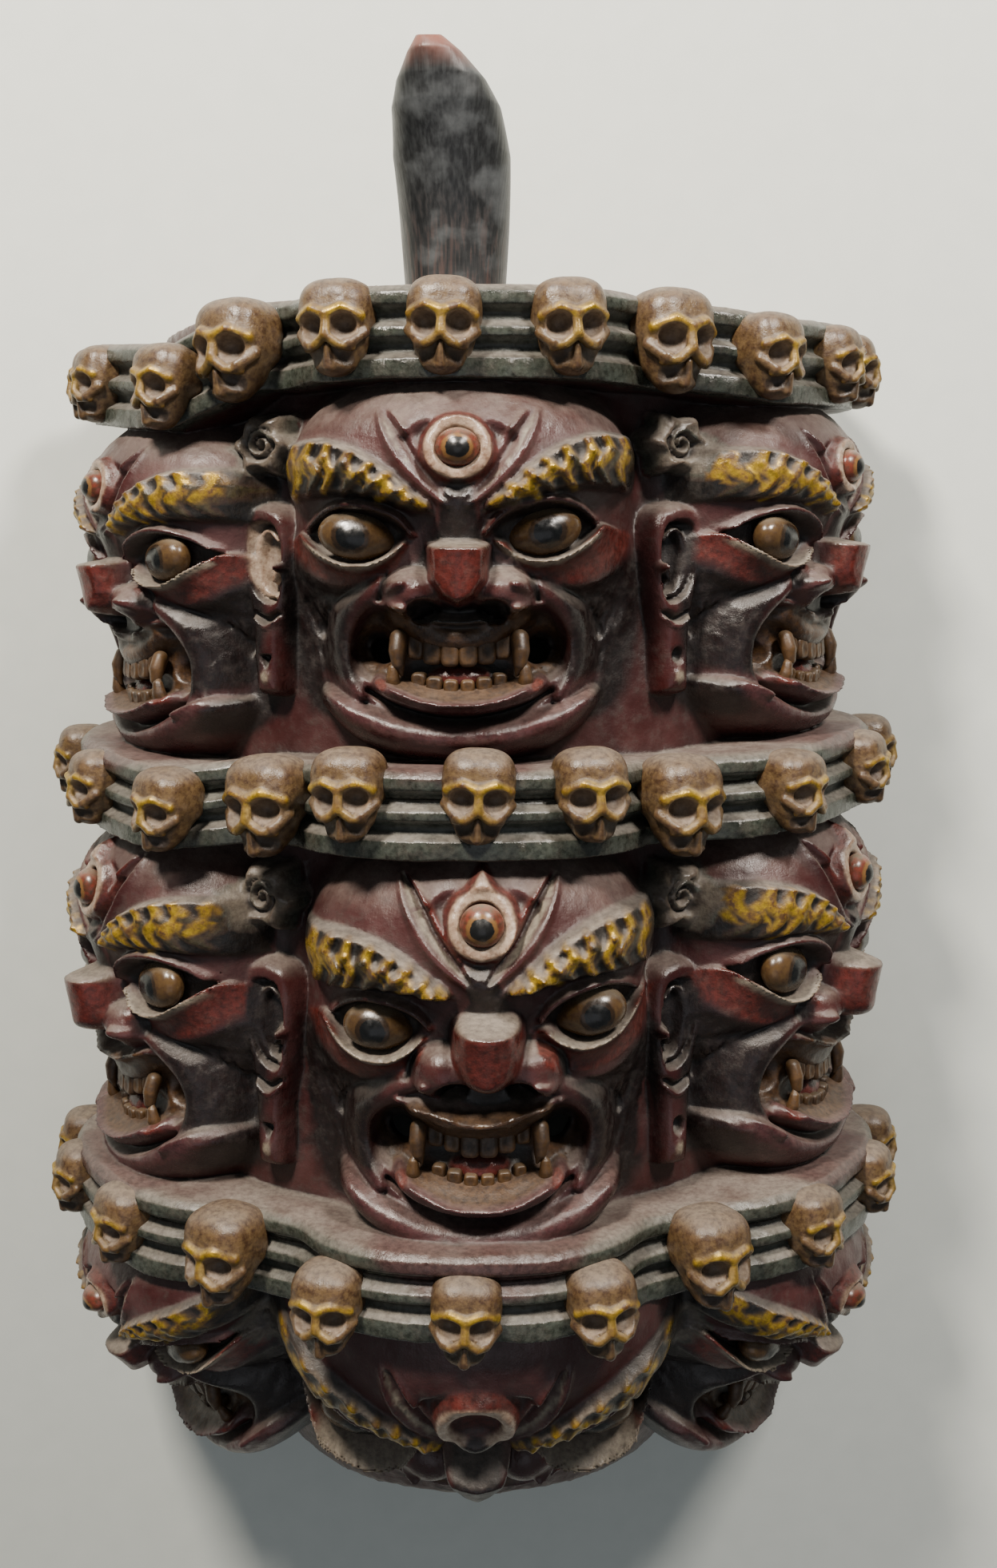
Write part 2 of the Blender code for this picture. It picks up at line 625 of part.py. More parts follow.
def build_horn():
    """Carve the black finial that stands on the top of the mask."""
    side = HORN_HALF_WIDTH + HORN_ROOM
    depth = HORN_HALF_DEPTH + HORN_ROOM
    low = (HORN_X + HORN_LEAN_X - side, TOP_Y - HORN_ROOM, HORN_Z - depth)
    high = (HORN_X + side, TOP_Y + HORN_HEIGHT + HORN_ROOM, HORN_Z + HORN_LEAN_Z + depth)
    field = Field(low, high, HORN_STEP)
    x = field.axes[0][:, None, None]
    y = field.axes[1][None, :, None]
    z = field.axes[2][None, None, :]
    rise = np.clip((y - TOP_Y) / HORN_HEIGHT, 0.0, 1.0)
    spine_x = HORN_X + HORN_LEAN_X * rise ** 4
    spine_z = HORN_Z + HORN_LEAN_Z * rise ** 2
    wide = HORN_HALF_WIDTH * np.interp(rise, HORN_LEVELS, HORN_WIDTHS)
    deep = HORN_HALF_DEPTH * np.interp(rise, HORN_LEVELS, HORN_DEPTHS)
    power = 2.4
    ratio = (np.abs(x - spine_x) / wide) ** power + (np.abs(z - spine_z) / deep) ** power
    body = (ratio ** (1.0 / power) - 1.0) * np.minimum(wide, deep)
    dome = y - (TOP_Y + HORN_HEIGHT) + 0.25 * np.abs(z - spine_z)
    field.value = np.maximum(body, dome).astype(np.float32)
    tip = Frame(0.0, HORN_Z + HORN_LEAN_Z, TOP_Y + HORN_HEIGHT, 0.0, HORN_X + HORN_LEAN_X)
    for end in ((-8.0, -25.0, 9.0), (17.0, -23.0, 12.0)):
        slit = [(0.0, -12.0, 14.0), end]
        rod(field, tip, slit, (1000.0 * HORN_SLIT_HALF, 1000.0 * HORN_SLIT_HALF), 1000.0 * HORN_SLIT_BLEND, True)
    field.value = np.maximum(field.value, (TOP_Y + HORN_SEAT_GAP) - y).astype(np.float32)
    mesh = mesh_from_field("horn", field)
    planes = ((1, TOP_Y + HORN_SEAT_GAP, 0.0004),)
    return finish("horn", mesh, HORN_TRIANGLES, (0.012, 0.013, 0.014, 1.0), planes)


def centre_on_floor(items):
    """Move the pieces so the middle of the whole outline lies over the origin."""
    points = np.array([vert.co[:] for item in items for vert in item.data.vertices])
    middle = np.round(0.5 * (points.min(axis=0) + points.max(axis=0)), 6)
    for item in items:
        for vert in item.data.vertices:
            vert.co = [round(vert.co[0] - middle[0], 6), round(vert.co[1] - middle[1], 6), vert.co[2]]
    return float(middle[0]), float(middle[1])


clear_objects()
MIDDLE = centre_on_floor([build_mask(), build_horn()])
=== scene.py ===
"""Looks of the many-headed carved mask: cut wood, worn paint, gold, dust and the black horn.

The mask lies on its back: +Y runs up the mask to the horn, +Z runs out of the faces.
Places on a head are in millimetres: across, up from the lower edge of the crown band, out.
"""
import logging
import math
from dataclasses import dataclass, field
from enum import Enum
from typing import Dict, List, Optional, Sequence, Tuple

import bmesh
import bpy
import numpy as np
from mathutils import Matrix, Vector

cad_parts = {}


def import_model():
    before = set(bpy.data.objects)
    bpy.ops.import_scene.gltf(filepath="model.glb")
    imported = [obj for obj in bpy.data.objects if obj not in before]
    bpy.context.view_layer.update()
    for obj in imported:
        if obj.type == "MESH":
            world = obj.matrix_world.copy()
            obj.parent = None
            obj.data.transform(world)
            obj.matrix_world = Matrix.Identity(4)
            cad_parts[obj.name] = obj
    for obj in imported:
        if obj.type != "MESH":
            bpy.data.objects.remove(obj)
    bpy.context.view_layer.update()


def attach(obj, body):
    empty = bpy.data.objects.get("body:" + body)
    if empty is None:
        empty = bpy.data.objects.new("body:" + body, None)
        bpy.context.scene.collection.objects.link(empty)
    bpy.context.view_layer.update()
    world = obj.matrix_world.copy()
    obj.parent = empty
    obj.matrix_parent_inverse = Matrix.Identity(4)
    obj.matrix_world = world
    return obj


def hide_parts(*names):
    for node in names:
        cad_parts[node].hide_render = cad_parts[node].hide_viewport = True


LOG = logging.getLogger("mask")
MM = 0.001
Spot = Tuple[float, float, float]
Flat = Tuple[float, float]

# The middle of the whole outline in the carver's own axes, which the frame puts at its origin
OUTLINE_MIDDLE = (0.001198, -0.037972)

# Degrees round the body of the outer heads, and of the ears beside and behind them
SIDE_AZIMUTH = 56.0
CORNER_AZIMUTH = 31.5
FAR_AZIMUTH = 84.0
# Local height in millimetres below which a head takes its lower scale
FOLD_V = -104.0
# Half width, top, foot and back of a face's drawing in millimetres, and the same for an ear's drawing
FACE_HALF, FACE_TOP, FACE_FOOT, FACE_BACK = 96.0, 4.0, -214.0, -52.0
EAR_HALF, EAR_TOP, EAR_FOOT, EAR_BACK = 30.0, 4.0, -166.0, -26.0
# Levels of the eyes and of the upper and lower gums on a face's drawing in millimetres
EYE_V, UPPER_GUM_V, LOWER_GUM_V = -78.5, -139.0, -157.5
# Focal length that fits the ring of skulls, and height of the frame, both in pixels of the photograph
FOCAL_LENGTH, FRAME_HEIGHT = 2000.0, 1962.0
# Four paint shares fit in each colour attribute
PAINT_LAYERS = ("paint_a", "paint_b", "paint_c")


class Zone(Enum):
    """What a part of the carving is painted with."""

    SKIN = 0
    GOLD = 1
    ROSE = 2
    # black paint, also laid into pits, creases and holes as painted shade
    BLACK_AND_SHADE = 3
    BAND = 4
    BONE = 5
    RED = 6
    # near-black soot, laid in recesses and over the lower cheeks partly as painted shade
    SOOT_AND_SHADE = 7
    DUST = 8
    GUM = 9
    LIP = 10
    OLIVE = 11


def linear(code: str) -> Tuple[float, float, float, float]:
    """Turn an sRGB hex colour to linear.

    Args:
        code: six hex digits.

    Returns:
        Linear red, green, blue and an alpha of one.
    """
    parts = [int(code[i:i + 2], 16) / 255.0 for i in (0, 2, 4)]
    bright = [p / 12.92 if p <= 0.04045 else ((p + 0.055) / 1.055) ** 2.4 for p in parts]
    return (bright[0], bright[1], bright[2], 1.0)


@dataclass(frozen=True)
class Place:
    """A set of axes on the mask with its own scales across, up and out."""

    azimuth: float
    radius: float
    height: float
    tilt: float = 0.0
    shift: float = 0.0
    wide: float = 1.0
    tall: float = 1.0
    low: float = 1.0

    @property
    def axes(self) -> Tuple[np.ndarray, np.ndarray, np.ndarray]:
        """Unit vectors to the right, up and outward."""
        turn = math.radians(self.azimuth)
        lean = math.radians(self.tilt)
        out = np.array([math.sin(turn), 0.0, math.cos(turn)])
        up = np.array([0.0, 1.0, 0.0])
        right = np.array([math.cos(turn), 0.0, -math.sin(turn)])
        return right, up * math.cos(lean) + out * math.sin(lean), out * math.cos(lean) - up * math.sin(lean)

    @property
    def origin(self) -> np.ndarray:
        """World place of the local zero."""
        turn = math.radians(self.azimuth)
        out = np.array([math.sin(turn), 0.0, math.cos(turn)])
        return out * self.radius + np.array([0.0, self.height, 0.0]) + self.axes[0] * self.shift

    def scale(self, v: float) -> float:
        """Height scale at a local height."""
        return self.tall if v > FOLD_V else self.low

    def point(self, spot: Spot) -> np.ndarray:
        """World place of a local spot in millimetres."""
        right, up, out = self.axes
        rise = max(spot[1], FOLD_V) * self.tall + min(spot[1] - FOLD_V, 0.0) * self.low
        return self.origin + (right * spot[0] * self.wide + up * rise + out * spot[2] * self.wide) * MM

    def local(self, spot: Spot, x: np.ndarray, y: np.ndarray, z: np.ndarray) -> List[np.ndarray]:
        """Distances right, up and out of world points from a local spot, in metres."""
        centre = self.point(spot)
        return [a[0] * (x - centre[0]) + a[1] * (y - centre[1]) + a[2] * (z - centre[2]) for a in self.axes]


@dataclass(frozen=True)
class Egg:
    """Ellipsoid with radii in millimetres, turned in the plane of the face by a spin."""

    spot: Spot
    radii: Spot
    spin: float = 0.0
    power: float = 2.0

    def size(self, place: Place) -> np.ndarray:
        """World radii in metres."""
        tall = place.scale(self.spot[1])
        return np.array([self.radii[0] * place.wide, self.radii[1] * tall, self.radii[2] * place.wide]) * MM

    def ball(self, place: Place) -> Tuple[np.ndarray, float]:
        """Centre and radius of a ball round the shape."""
        return place.point(self.spot), float(self.size(place).max())

    def distance(self, place: Place, x: np.ndarray, y: np.ndarray, z: np.ndarray) -> np.ndarray:
        """Signed distance of world points."""
        size = self.size(place)
        du, dv, dw = place.local(self.spot, x, y, z)
        turn = math.radians(self.spin)
        right = du * math.cos(turn) + dv * math.sin(turn)
        above = dv * math.cos(turn) - du * math.sin(turn)
        if self.power != 2.0:
            ratio = sum(np.abs(d / s) ** self.power for d, s in zip((right, above, dw), size))
            return (ratio ** (1.0 / self.power) - 1.0) * float(size.min())
        near = np.sqrt((right / size[0]) ** 2 + (above / size[1]) ** 2 + (dw / size[2]) ** 2)
        steep = np.sqrt((right / size[0] ** 2) ** 2 + (above / size[1] ** 2) ** 2 + (dw / size[2] ** 2) ** 2)
        return near * (near - 1.0) / np.maximum(steep, 1e-6)


@dataclass(frozen=True)
class Bar:
    """Chain of tapered round bars through spots in millimetres."""

    spots: Tuple[Spot, ...]
    radii: Tuple[float, ...]

    def ball(self, place: Place) -> Tuple[np.ndarray, float]:
        """Centre and radius of a ball round the shape."""
        points = np.array([place.point(spot) for spot in self.spots])
        centre = 0.5 * (points.min(axis=0) + points.max(axis=0))
        reach = float(np.linalg.norm(points - centre, axis=1).max())
        return centre, reach + max(self.radii) * place.wide * MM

    def distance(self, place: Place, x: np.ndarray, y: np.ndarray, z: np.ndarray) -> np.ndarray:
        """Signed distance of world points."""
        points = [place.point(spot) for spot in self.spots]
        thick = [radius * place.wide * MM for radius in self.radii]
        best: Optional[np.ndarray] = None
        for i in range(len(points) - 1):
            start = points[i]
            along = points[i + 1] - start
            length = float(along @ along)
            px, py, pz = x - start[0], y - start[1], z - start[2]
            part = np.clip((px * along[0] + py * along[1] + pz * along[2]) / length, 0.0, 1.0)
            gap = (px - part * along[0]) ** 2 + (py - part * along[1]) ** 2 + (pz - part * along[2]) ** 2
            shape = np.sqrt(gap) - (thick[i] + part * (thick[i + 1] - thick[i]))
            best = shape if best is None else np.minimum(best, shape)
        return best


def mirror(spots: Sequence[Spot], side: float) -> Tuple[Spot, ...]:
    """Put spots on one side of a face.

    Args:
        spots: spots on the right half of a face.
        side: one for the right half, minus one for the left.

    Returns:
        The spots with their places across turned to that side.
    """
    return tuple((spot[0] * side, spot[1], spot[2]) for spot in spots)


def whole(half: Sequence[Flat]) -> List[Flat]:
    """Both halves of a line, from its right half given from the middle outward."""
    return [(-u, v) for u, v in reversed(half[1:])] + list(half)


def soft_min(first: np.ndarray, second: np.ndarray, blend: float) -> np.ndarray:
    """Union of two distances with a soft seam of a given width in metres."""
    mix = np.clip(0.5 + 0.5 * (second - first) / blend, 0.0, 1.0)
    return second * (1.0 - mix) + first * mix - blend * mix * (1.0 - mix)


def enlarge(coarse: np.ndarray, old: List[np.ndarray], new: List[np.ndarray]) -> np.ndarray:
    """Read a grid at finer steps.

    Args:
        coarse: values on the old grid.
        old: the three old axes.
        new: the three new axes.

    Returns:
        The values on the new grid.
    """
    value = coarse
    for i in range(3):
        at = np.clip((new[i] - old[i][0]) / (old[i][1] - old[i][0]), 0.0, len(old[i]) - 1.001)
        low = at.astype(int)
        part = (at - low).astype(np.float32)
        part = part.reshape([-1 if j == i else 1 for j in range(3)])
        value = np.take(value, low, axis=i) * (1.0 - part) + np.take(value, low + 1, axis=i) * part
    return value


def smooth_line(spots: Sequence[Flat], steps: int = 6) -> np.ndarray:
    """Round curve through spots.

    Args:
        spots: places across and up, in millimetres.
        steps: straight runs between two spots.

    Returns:
        Points along the curve, one a row.
    """
    points = np.array(spots, dtype=float)
    if len(points) < 3:
        return points
    padded = np.vstack([2.0 * points[0] - points[1], points, 2.0 * points[-1] - points[-2]])
    part = np.linspace(0.0, 1.0, steps, endpoint=False)[:, None]
    runs = []
    for i in range(len(points) - 1):
        a, b, c, d = padded[i:i + 4]
        runs.append(0.5 * (2.0 * b + (c - a) * part + (2.0 * a - 5.0 * b + 4.0 * c - d) * part ** 2
                           + (3.0 * b - a - 3.0 * c + d) * part ** 3))
    return np.vstack(runs + [points[-1:]])


def from_line(points: np.ndarray, u: np.ndarray, v: np.ndarray) -> Tuple[np.ndarray, np.ndarray]:
    """Distance of a drawing's cells from a line, and how far along it they are.

    Args:
        points: the line's points.
        u: places across.
        v: places up.

    Returns:
        Distances in millimetres, and shares of the line's length.
    """
    lengths = np.linalg.norm(np.diff(points, axis=0), axis=1)
    starts = np.concatenate([[0.0], np.cumsum(lengths)])
    best = np.full(np.broadcast(u, v).shape, 1e6)
    along = np.zeros_like(best)
    for i in range(len(points) - 1):
        run = points[i + 1] - points[i]
        pu, pv = u - points[i, 0], v - points[i, 1]
        part = np.clip((pu * run[0] + pv * run[1]) / max(float(run @ run), 1e-9), 0.0, 1.0)
        gap = np.hypot(pu - part * run[0], pv - part * run[1])
        nearer = gap < best
        best = np.where(nearer, gap, best)
        along = np.where(nearer, (starts[i] + part * lengths[i]) / starts[-1], along)
    return best, along


def within(points: np.ndarray, u: np.ndarray, v: np.ndarray) -> np.ndarray:
    """True for the cells inside a closed outline."""
    inside = np.zeros(np.broadcast(u, v).shape, dtype=bool)
    ahead = np.roll(points, -1, axis=0)
    for (au, av), (bu, bv) in zip(points, ahead):
        if av == bv:
            continue
        crosses = ((av > v) != (bv > v)) & (u < (bu - au) * (v - av) / (bv - av) + au)
        inside ^= crosses
    return inside


class Relief:
    """Drawing of carved heights and paint over one face or ear, in millimetres."""

    def __init__(self, low: Flat, high: Flat, pitch: float = 0.6) -> None:
        """Lay out an empty drawing.

        Args:
            low: lowest place across and up.
            high: highest place across and up.
            pitch: size of a cell.
        """
        self.low, self.high, self.pitch = low, high, pitch
        self.u = np.arange(low[0], high[0] + pitch, pitch)
        self.v = np.arange(low[1], high[1] + pitch, pitch)
        self.height = np.zeros((len(self.u), len(self.v)))
        self.share = np.zeros((len(self.u), len(self.v), len(Zone)))
        self.share[:, :, 0] = 1.0

    def part(self, points: np.ndarray, reach: float) -> Tuple[Tuple[slice, slice], np.ndarray, np.ndarray]:
        """Cells round some points.

        Args:
            points: the points.
            reach: how far past them the cells go.

        Returns:
            Their slices, and their places across and up.
        """
        cuts = []
        for i in range(2):
            count = len((self.u, self.v)[i])
            first = int((points[:, i].min() - reach - self.low[i]) / self.pitch)
            last = int((points[:, i].max() + reach - self.low[i]) / self.pitch) + 2
            cuts.append(slice(min(max(first, 0), count), min(max(last, 0), count)))
        return (cuts[0], cuts[1]), self.u[cuts[0]][:, None], self.v[cuts[1]][None, :]

    def paint(self, part: Tuple[slice, slice], mask: np.ndarray, zone: Optional[Zone]) -> None:
        """Lay a paint where a mask says."""
        if zone is not None:
            self.share[part] *= 1.0 - mask[:, :, None]
            self.share[part][:, :, zone.value] += mask

    def ridge(self, spots: Sequence[Flat], widths: Sequence[float], height: float, power: float = 0.5,
              zone: Optional[Zone] = None, spread: float = 0.0) -> None:
        """Raise or sink a band along a line.

        Args:
            spots: the line.
            widths: half widths from its start to its end.
            height: how far it stands out; negative for a groove.
            power: 0.5 for a round roll with crisp edges, more for softer ones.
            zone: its paint, if any.
            spread: how far the paint runs past it.
        """
        line = smooth_line(spots)
        part, u, v = self.part(line, max(widths) + spread + 1.0)
        gap, at = from_line(line, u, v)
        wide = np.interp(at, np.linspace(0.0, 1.0, len(widths)), widths)
        self.height[part] += height * np.clip(1.0 - (gap / wide) ** 2, 0.0, 1.0) ** power
        self.paint(part, np.clip((wide + spread - gap) / 0.8, 0.0, 1.0), zone)

    def dome(self, spot: Flat, radii: Flat, height: float, power: float = 0.5, spin: float = 0.0,
             zone: Optional[Zone] = None, spread: float = 0.0) -> None:
        """Raise or sink an oval.

        Args:
            spot: its middle.
            radii: its radii across and up.
            height: how far it stands out; negative for a pit.
            power: 0.5 for a round form with crisp edges, more for softer ones.
            spin: its turn in degrees.
            zone: its paint, if any.
            spread: how far the paint runs past it.
        """
        centre = np.array([spot])
        part, u, v = self.part(centre, max(radii) + spread + 1.0)
        turn = math.radians(spin)
        du, dv = u - spot[0], v - spot[1]
        right, above = du * math.cos(turn) + dv * math.sin(turn), dv * math.cos(turn) - du * math.sin(turn)
        ratio = np.sqrt((right / radii[0]) ** 2 + (above / radii[1]) ** 2)
        self.height[part] += height * np.clip(1.0 - ratio ** 2, 0.0, 1.0) ** power
        self.paint(part, np.clip((1.0 - ratio) * min(radii) / 0.8 + spread / 0.8, 0.0, 1.0), zone)

    def pad(self, outline: Sequence[Flat], height: float, bevel: float, power: float = 0.5,
            zone: Optional[Zone] = None, spread: float = 0.0, steps: int = 6) -> None:
        """Raise or sink a flat patch with worked edges.

        Args:
            outline: its closed outline.
            height: how far it stands out; negative for a recess.
            bevel: width of its edge.
            power: 0.5 for a rounded edge, 1 for a softer one.
            zone: its paint, if any.
            spread: how far the paint runs past it.
            steps: runs between two spots of the outline, 1 for straight sides.
        """
        closed = list(outline) + [outline[0]]
        line = smooth_line(closed, steps) if steps > 1 else np.array(closed, dtype=float)
        part, u, v = self.part(line, spread + 2.0)
        gap, _ = from_line(line, u, v)
        inside = within(line[:-1], u, v)
        deep = np.where(inside, np.clip(gap / bevel, 0.0, 1.0), 0.0)
        self.height[part] += height * (1.0 - (1.0 - deep) ** 2) ** power
        self.paint(part, np.clip(np.where(inside, gap, -gap) / 0.8 + spread / 0.8 + 0.5, 0.0, 1.0), zone)

    def slope(self, first: Sequence[Flat], last: Sequence[Flat], start: float, end: float, power: float = 1.0,
              zone: Optional[Zone] = None, zone_share: float = 1.0) -> None:
        """Lay a slope between two lines that run the same way.

        Args:
            first: line along which the slope starts.
            last: line along which it ends.
            start: height along the first line.
            end: height along the last line.
            power: 1 for a flat slope, less for a rounded shoulder.
            zone: its paint, if any.
            zone_share: how far from the first line the paint reaches.
        """
        one, two = smooth_line(first), smooth_line(last)
        ring = np.vstack([one, two[::-1]])
        part, u, v = self.part(ring, 1.0)
        inside = within(ring, u, v)
        near, far = from_line(one, u, v)[0], from_line(two, u, v)[0]
        share = near / np.maximum(near + far, 1e-6)
        lift = start + (end - start) * (1.0 - (1.0 - share) ** (1.0 / power)) if power < 1.0 else (
            start + (end - start) * share ** power)
        self.height[part] += np.where(inside, lift, 0.0)
        self.paint(part, np.where(inside & (share <= zone_share), 1.0, 0.0), zone)

    def wash(self, outline: Sequence[Flat], zone: Zone, amount: float, soft: float) -> None:
        """Brush a thin paint with soft edges.

        Args:
            outline: its closed outline.
            zone: the paint.
            amount: its strength in the middle.
            soft: width of its faded edge.
        """
        line = smooth_line(list(outline) + [outline[0]])
        part, u, v = self.part(line, 1.0)
        gap = from_line(line, u, v)[0]
        self.paint(part, np.where(within(line[:-1], u, v), amount * np.clip(gap / soft, 0.0, 1.0), 0.0), zone)

    def soften(self, rounds: int) -> None:
        """Take the burr off every edge, as sanding and paint do."""
        for _ in range(rounds):
            for axis in range(2):
                ahead, behind = np.roll(self.height, 1, axis), np.roll(self.height, -1, axis)
                self.height = 0.5 * self.height + 0.25 * (ahead + behind)

    def read(self, grid: np.ndarray, u: np.ndarray, v: np.ndarray) -> np.ndarray:
        """Read a layer of the drawing between its cells.

        Args:
            grid: heights, or shares with one column a zone.
            u: places across.
            v: places up.

        Returns:
            The values there, and the edge's value past the edge.
        """
        at_u = np.clip((u - self.low[0]) / self.pitch, 0.0, len(self.u) - 1.001)
        at_v = np.clip((v - self.low[1]) / self.pitch, 0.0, len(self.v) - 1.001)
        i, j = at_u.astype(np.int32), at_v.astype(np.int32)
        pu, pv = at_u - i, at_v - j
        if grid.ndim == 3:
            pu, pv = pu[..., None], pv[..., None]
        return ((grid[i, j] * (1.0 - pu) + grid[i + 1, j] * pu) * (1.0 - pv)
                + (grid[i, j + 1] * (1.0 - pu) + grid[i + 1, j + 1] * pu) * pv)


class Block:
    """A block of wood as a grid of signed distances, and the paint laid on its carving."""

    def __init__(self, low: Spot, high: Spot, step: float) -> None:
        """Lay out the grid.

        Args:
            low: lowest corner.
            high: highest corner.
            step: grid step in metres.
        """
        self.step = step
        self.low = np.array(low)
        count = np.round((np.array(high) - self.low) / step).astype(int) + 1
        self.axes = [(self.low[i] + step * np.arange(count[i])).astype(np.float32) for i in range(3)]
        self.value = np.full(tuple(count), 1.0, dtype=np.float32)
        self.paint: List[Tuple[Place, object, Zone, float]] = []
        self.drawings: List[Tuple[object, Relief]] = []

    def window(self, centre: np.ndarray, reach: float) -> Tuple[Tuple[slice, ...], List[np.ndarray]]:
        """Part of the grid round a centre.

        Args:
            centre: world centre.
            reach: half size of the part.

        Returns:
            The slices and the three axes inside them, ready to combine.
        """
        cut = []
        for i in range(3):
            first = int(math.floor((centre[i] - reach - self.low[i]) / self.step))
            last = int(math.ceil((centre[i] + reach - self.low[i]) / self.step)) + 1
            cut.append(slice(max(first, 0), max(min(last, len(self.axes[i])), 0)))
        grids = [self.axes[0][cut[0]][:, None, None], self.axes[1][cut[1]][None, :, None],
                 self.axes[2][cut[2]][None, None, :]]
        return tuple(cut), grids

    def work(self, place: Place, shape: object, blend: float = 3.0, cut: bool = False,
             zone: Optional[Zone] = None, spread: float = 0.6) -> None:
        """Add a shape to the wood or cut it out, and paint what it leaves.

        Args:
            place: axes that the shape is given in.
            shape: an Egg or Bar.
            blend: width of the soft seam in millimetres.
            cut: true to take the shape out.
            zone: paint, if any.
            spread: how far the paint runs past the shape in millimetres.
        """
        centre, reach = shape.ball(place)
        part, grids = self.window(centre, reach + blend * MM + 2.0 * self.step)
        if min(s.stop - s.start for s in part) < 1:
            return
        new = shape.distance(place, *grids).astype(np.float32)
        old = self.value[part]
        self.value[part] = -soft_min(-old, new, blend * MM) if cut else soft_min(old, new, blend * MM)
        if zone is not None:
            self.paint.append((place, shape, zone, spread))

    def zones(self, points: np.ndarray) -> np.ndarray:
        """Share of each paint at points of the surface.

        Args:
            points: world points, one a row.

        Returns:
            One row a point, one column a zone.
        """
        share = np.zeros((len(points), len(Zone)), dtype=np.float32)
        share[:, Zone.SKIN.value] = 1.0
        for place, shape, zone, spread in self.paint:
            centre, reach = shape.ball(place)
            near = np.abs(points - centre).max(axis=1) < reach + (spread + 2.0) * MM
            rows = np.nonzero(near)[0]
            if len(rows) == 0:
                continue
            gap = shape.distance(place, points[rows, 0], points[rows, 1], points[rows, 2]) / MM
            weight = np.clip(0.5 - (gap - spread) / 1.2, 0.0, 1.0)[:, None]
            share[rows] *= 1.0 - weight
            share[rows, zone.value] += weight[:, 0]
        for carver, relief in self.drawings:
            rows, drawn = carver.seen(points, relief)
            share[rows] *= drawn[:, :1]
            share[rows, 1:] += drawn[:, 1:]
        return share

    def surface(self, name: str) -> bpy.types.Mesh:
        """Mesh of the zero level with one point for each cell that it crosses.

        Args:
            name: mesh name.

        Returns:
            The mesh, in the carver's axes.
        """
        value = self.value
        inside = value < 0.0
        shape = np.array(value.shape)
        total = np.zeros(tuple(shape - 1), dtype=np.int8)
        for i, j, k in np.ndindex(2, 2, 2):
            total += inside[i:shape[0] - 1 + i, j:shape[1] - 1 + j, k:shape[2] - 1 + k]
        cells = np.argwhere((total > 0) & (total < 8))
        index = np.full(tuple(shape - 1), -1, dtype=np.int32)
        index[cells[:, 0], cells[:, 1], cells[:, 2]] = np.arange(len(cells))
        summed = np.zeros((len(cells), 3))
        count = np.zeros(len(cells))
        corner = [value[cells[:, 0] + i, cells[:, 1] + j, cells[:, 2] + k].astype(np.float64)
                  for i, j, k in np.ndindex(2, 2, 2)]
        spots = list(np.ndindex(2, 2, 2))
        for a in range(8):
            for b in range(a + 1, 8):
                step = np.array(spots[b]) - np.array(spots[a])
                if np.abs(step).sum() != 1:
                    continue
                crossed = (corner[a] < 0.0) != (corner[b] < 0.0)
                part = corner[a][crossed] / (corner[a][crossed] - corner[b][crossed])
                summed[crossed] += np.array(spots[a]) + part[:, None] * step
                count[crossed] += 1.0
        points = self.low + self.step * (cells + summed / count[:, None])
        quads = []
        for axis in range(3):
            second, third = (axis + 1) % 3, (axis + 2) % 3
            near = [slice(1, -1)] * 3
            far = [slice(1, -1)] * 3
            near[axis] = slice(0, -1)
            far[axis] = slice(1, None)
            crossed = inside[tuple(near)] != inside[tuple(far)]
            at = np.argwhere(crossed)
            at[:, second] += 1
            at[:, third] += 1
            corners = []
            for down_second, down_third in ((1, 1), (0, 1), (0, 0), (1, 0)):
                cell = at.copy()
                cell[:, second] -= down_second
                cell[:, third] -= down_third
                corners.append(index[cell[:, 0], cell[:, 1], cell[:, 2]])
            quad = np.stack(corners, axis=1)
            outward = inside[at[:, 0], at[:, 1], at[:, 2]]
            quads.append(np.where(outward[:, None], quad, quad[:, ::-1]))
        faces = np.concatenate(quads)
        faces = faces[(faces >= 0).all(axis=1)]
        mesh = bpy.data.meshes.new(name)
        mesh.vertices.add(len(points))
        mesh.vertices.foreach_set("co", points.astype(np.float32).ravel())
        mesh.loops.add(faces.size)
        mesh.loops.foreach_set("vertex_index", faces.astype(np.int32).ravel())
        mesh.polygons.add(len(faces))
        mesh.polygons.foreach_set("loop_start", np.arange(0, faces.size, 4, dtype=np.int32))
        mesh.update(calc_edges=True)
        return mesh


def face_outward(mesh: bpy.types.Mesh) -> None:
    """Turn the faces of closed shells outward again after mirrored copies."""
    form = bmesh.new()
    form.from_mesh(mesh)
    bmesh.ops.recalc_face_normals(form, faces=form.faces)
    form.to_mesh(mesh)
    form.free()


def plain_mesh(item: bpy.types.Object) -> bpy.types.Mesh:
    """Mesh of an object as its modifiers leave it, with the modifiers taken off."""
    graph = bpy.context.evaluated_depsgraph_get()
    mesh = bpy.data.meshes.new_from_object(item.evaluated_get(graph))
    item.modifiers.clear()
    return mesh


def reduce(mesh: bpy.types.Mesh, triangles: int) -> bpy.types.Mesh:
    """Bring a fine mesh down to a number of triangles.

    Args:
        mesh: the fine mesh of quads.
        triangles: the wished number.

    Returns:
        The reduced mesh.
    """
    item = bpy.data.objects.new("reducing", mesh)
    bpy.context.scene.collection.objects.link(item)
    modifier = item.modifiers.new("reduce", "DECIMATE")
    modifier.ratio = min(1.0, triangles / (2.0 * len(mesh.polygons)))
    lighter = plain_mesh(item)
    bpy.data.objects.remove(item, do_unlink=True)
    return lighter


def points_of(mesh: bpy.types.Mesh) -> np.ndarray:
    """Vertex places of a mesh, one a row."""
    flat = np.empty(len(mesh.vertices) * 3, dtype=np.float32)
    mesh.vertices.foreach_get("co", flat)
    return flat.reshape(-1, 3).astype(np.float64)


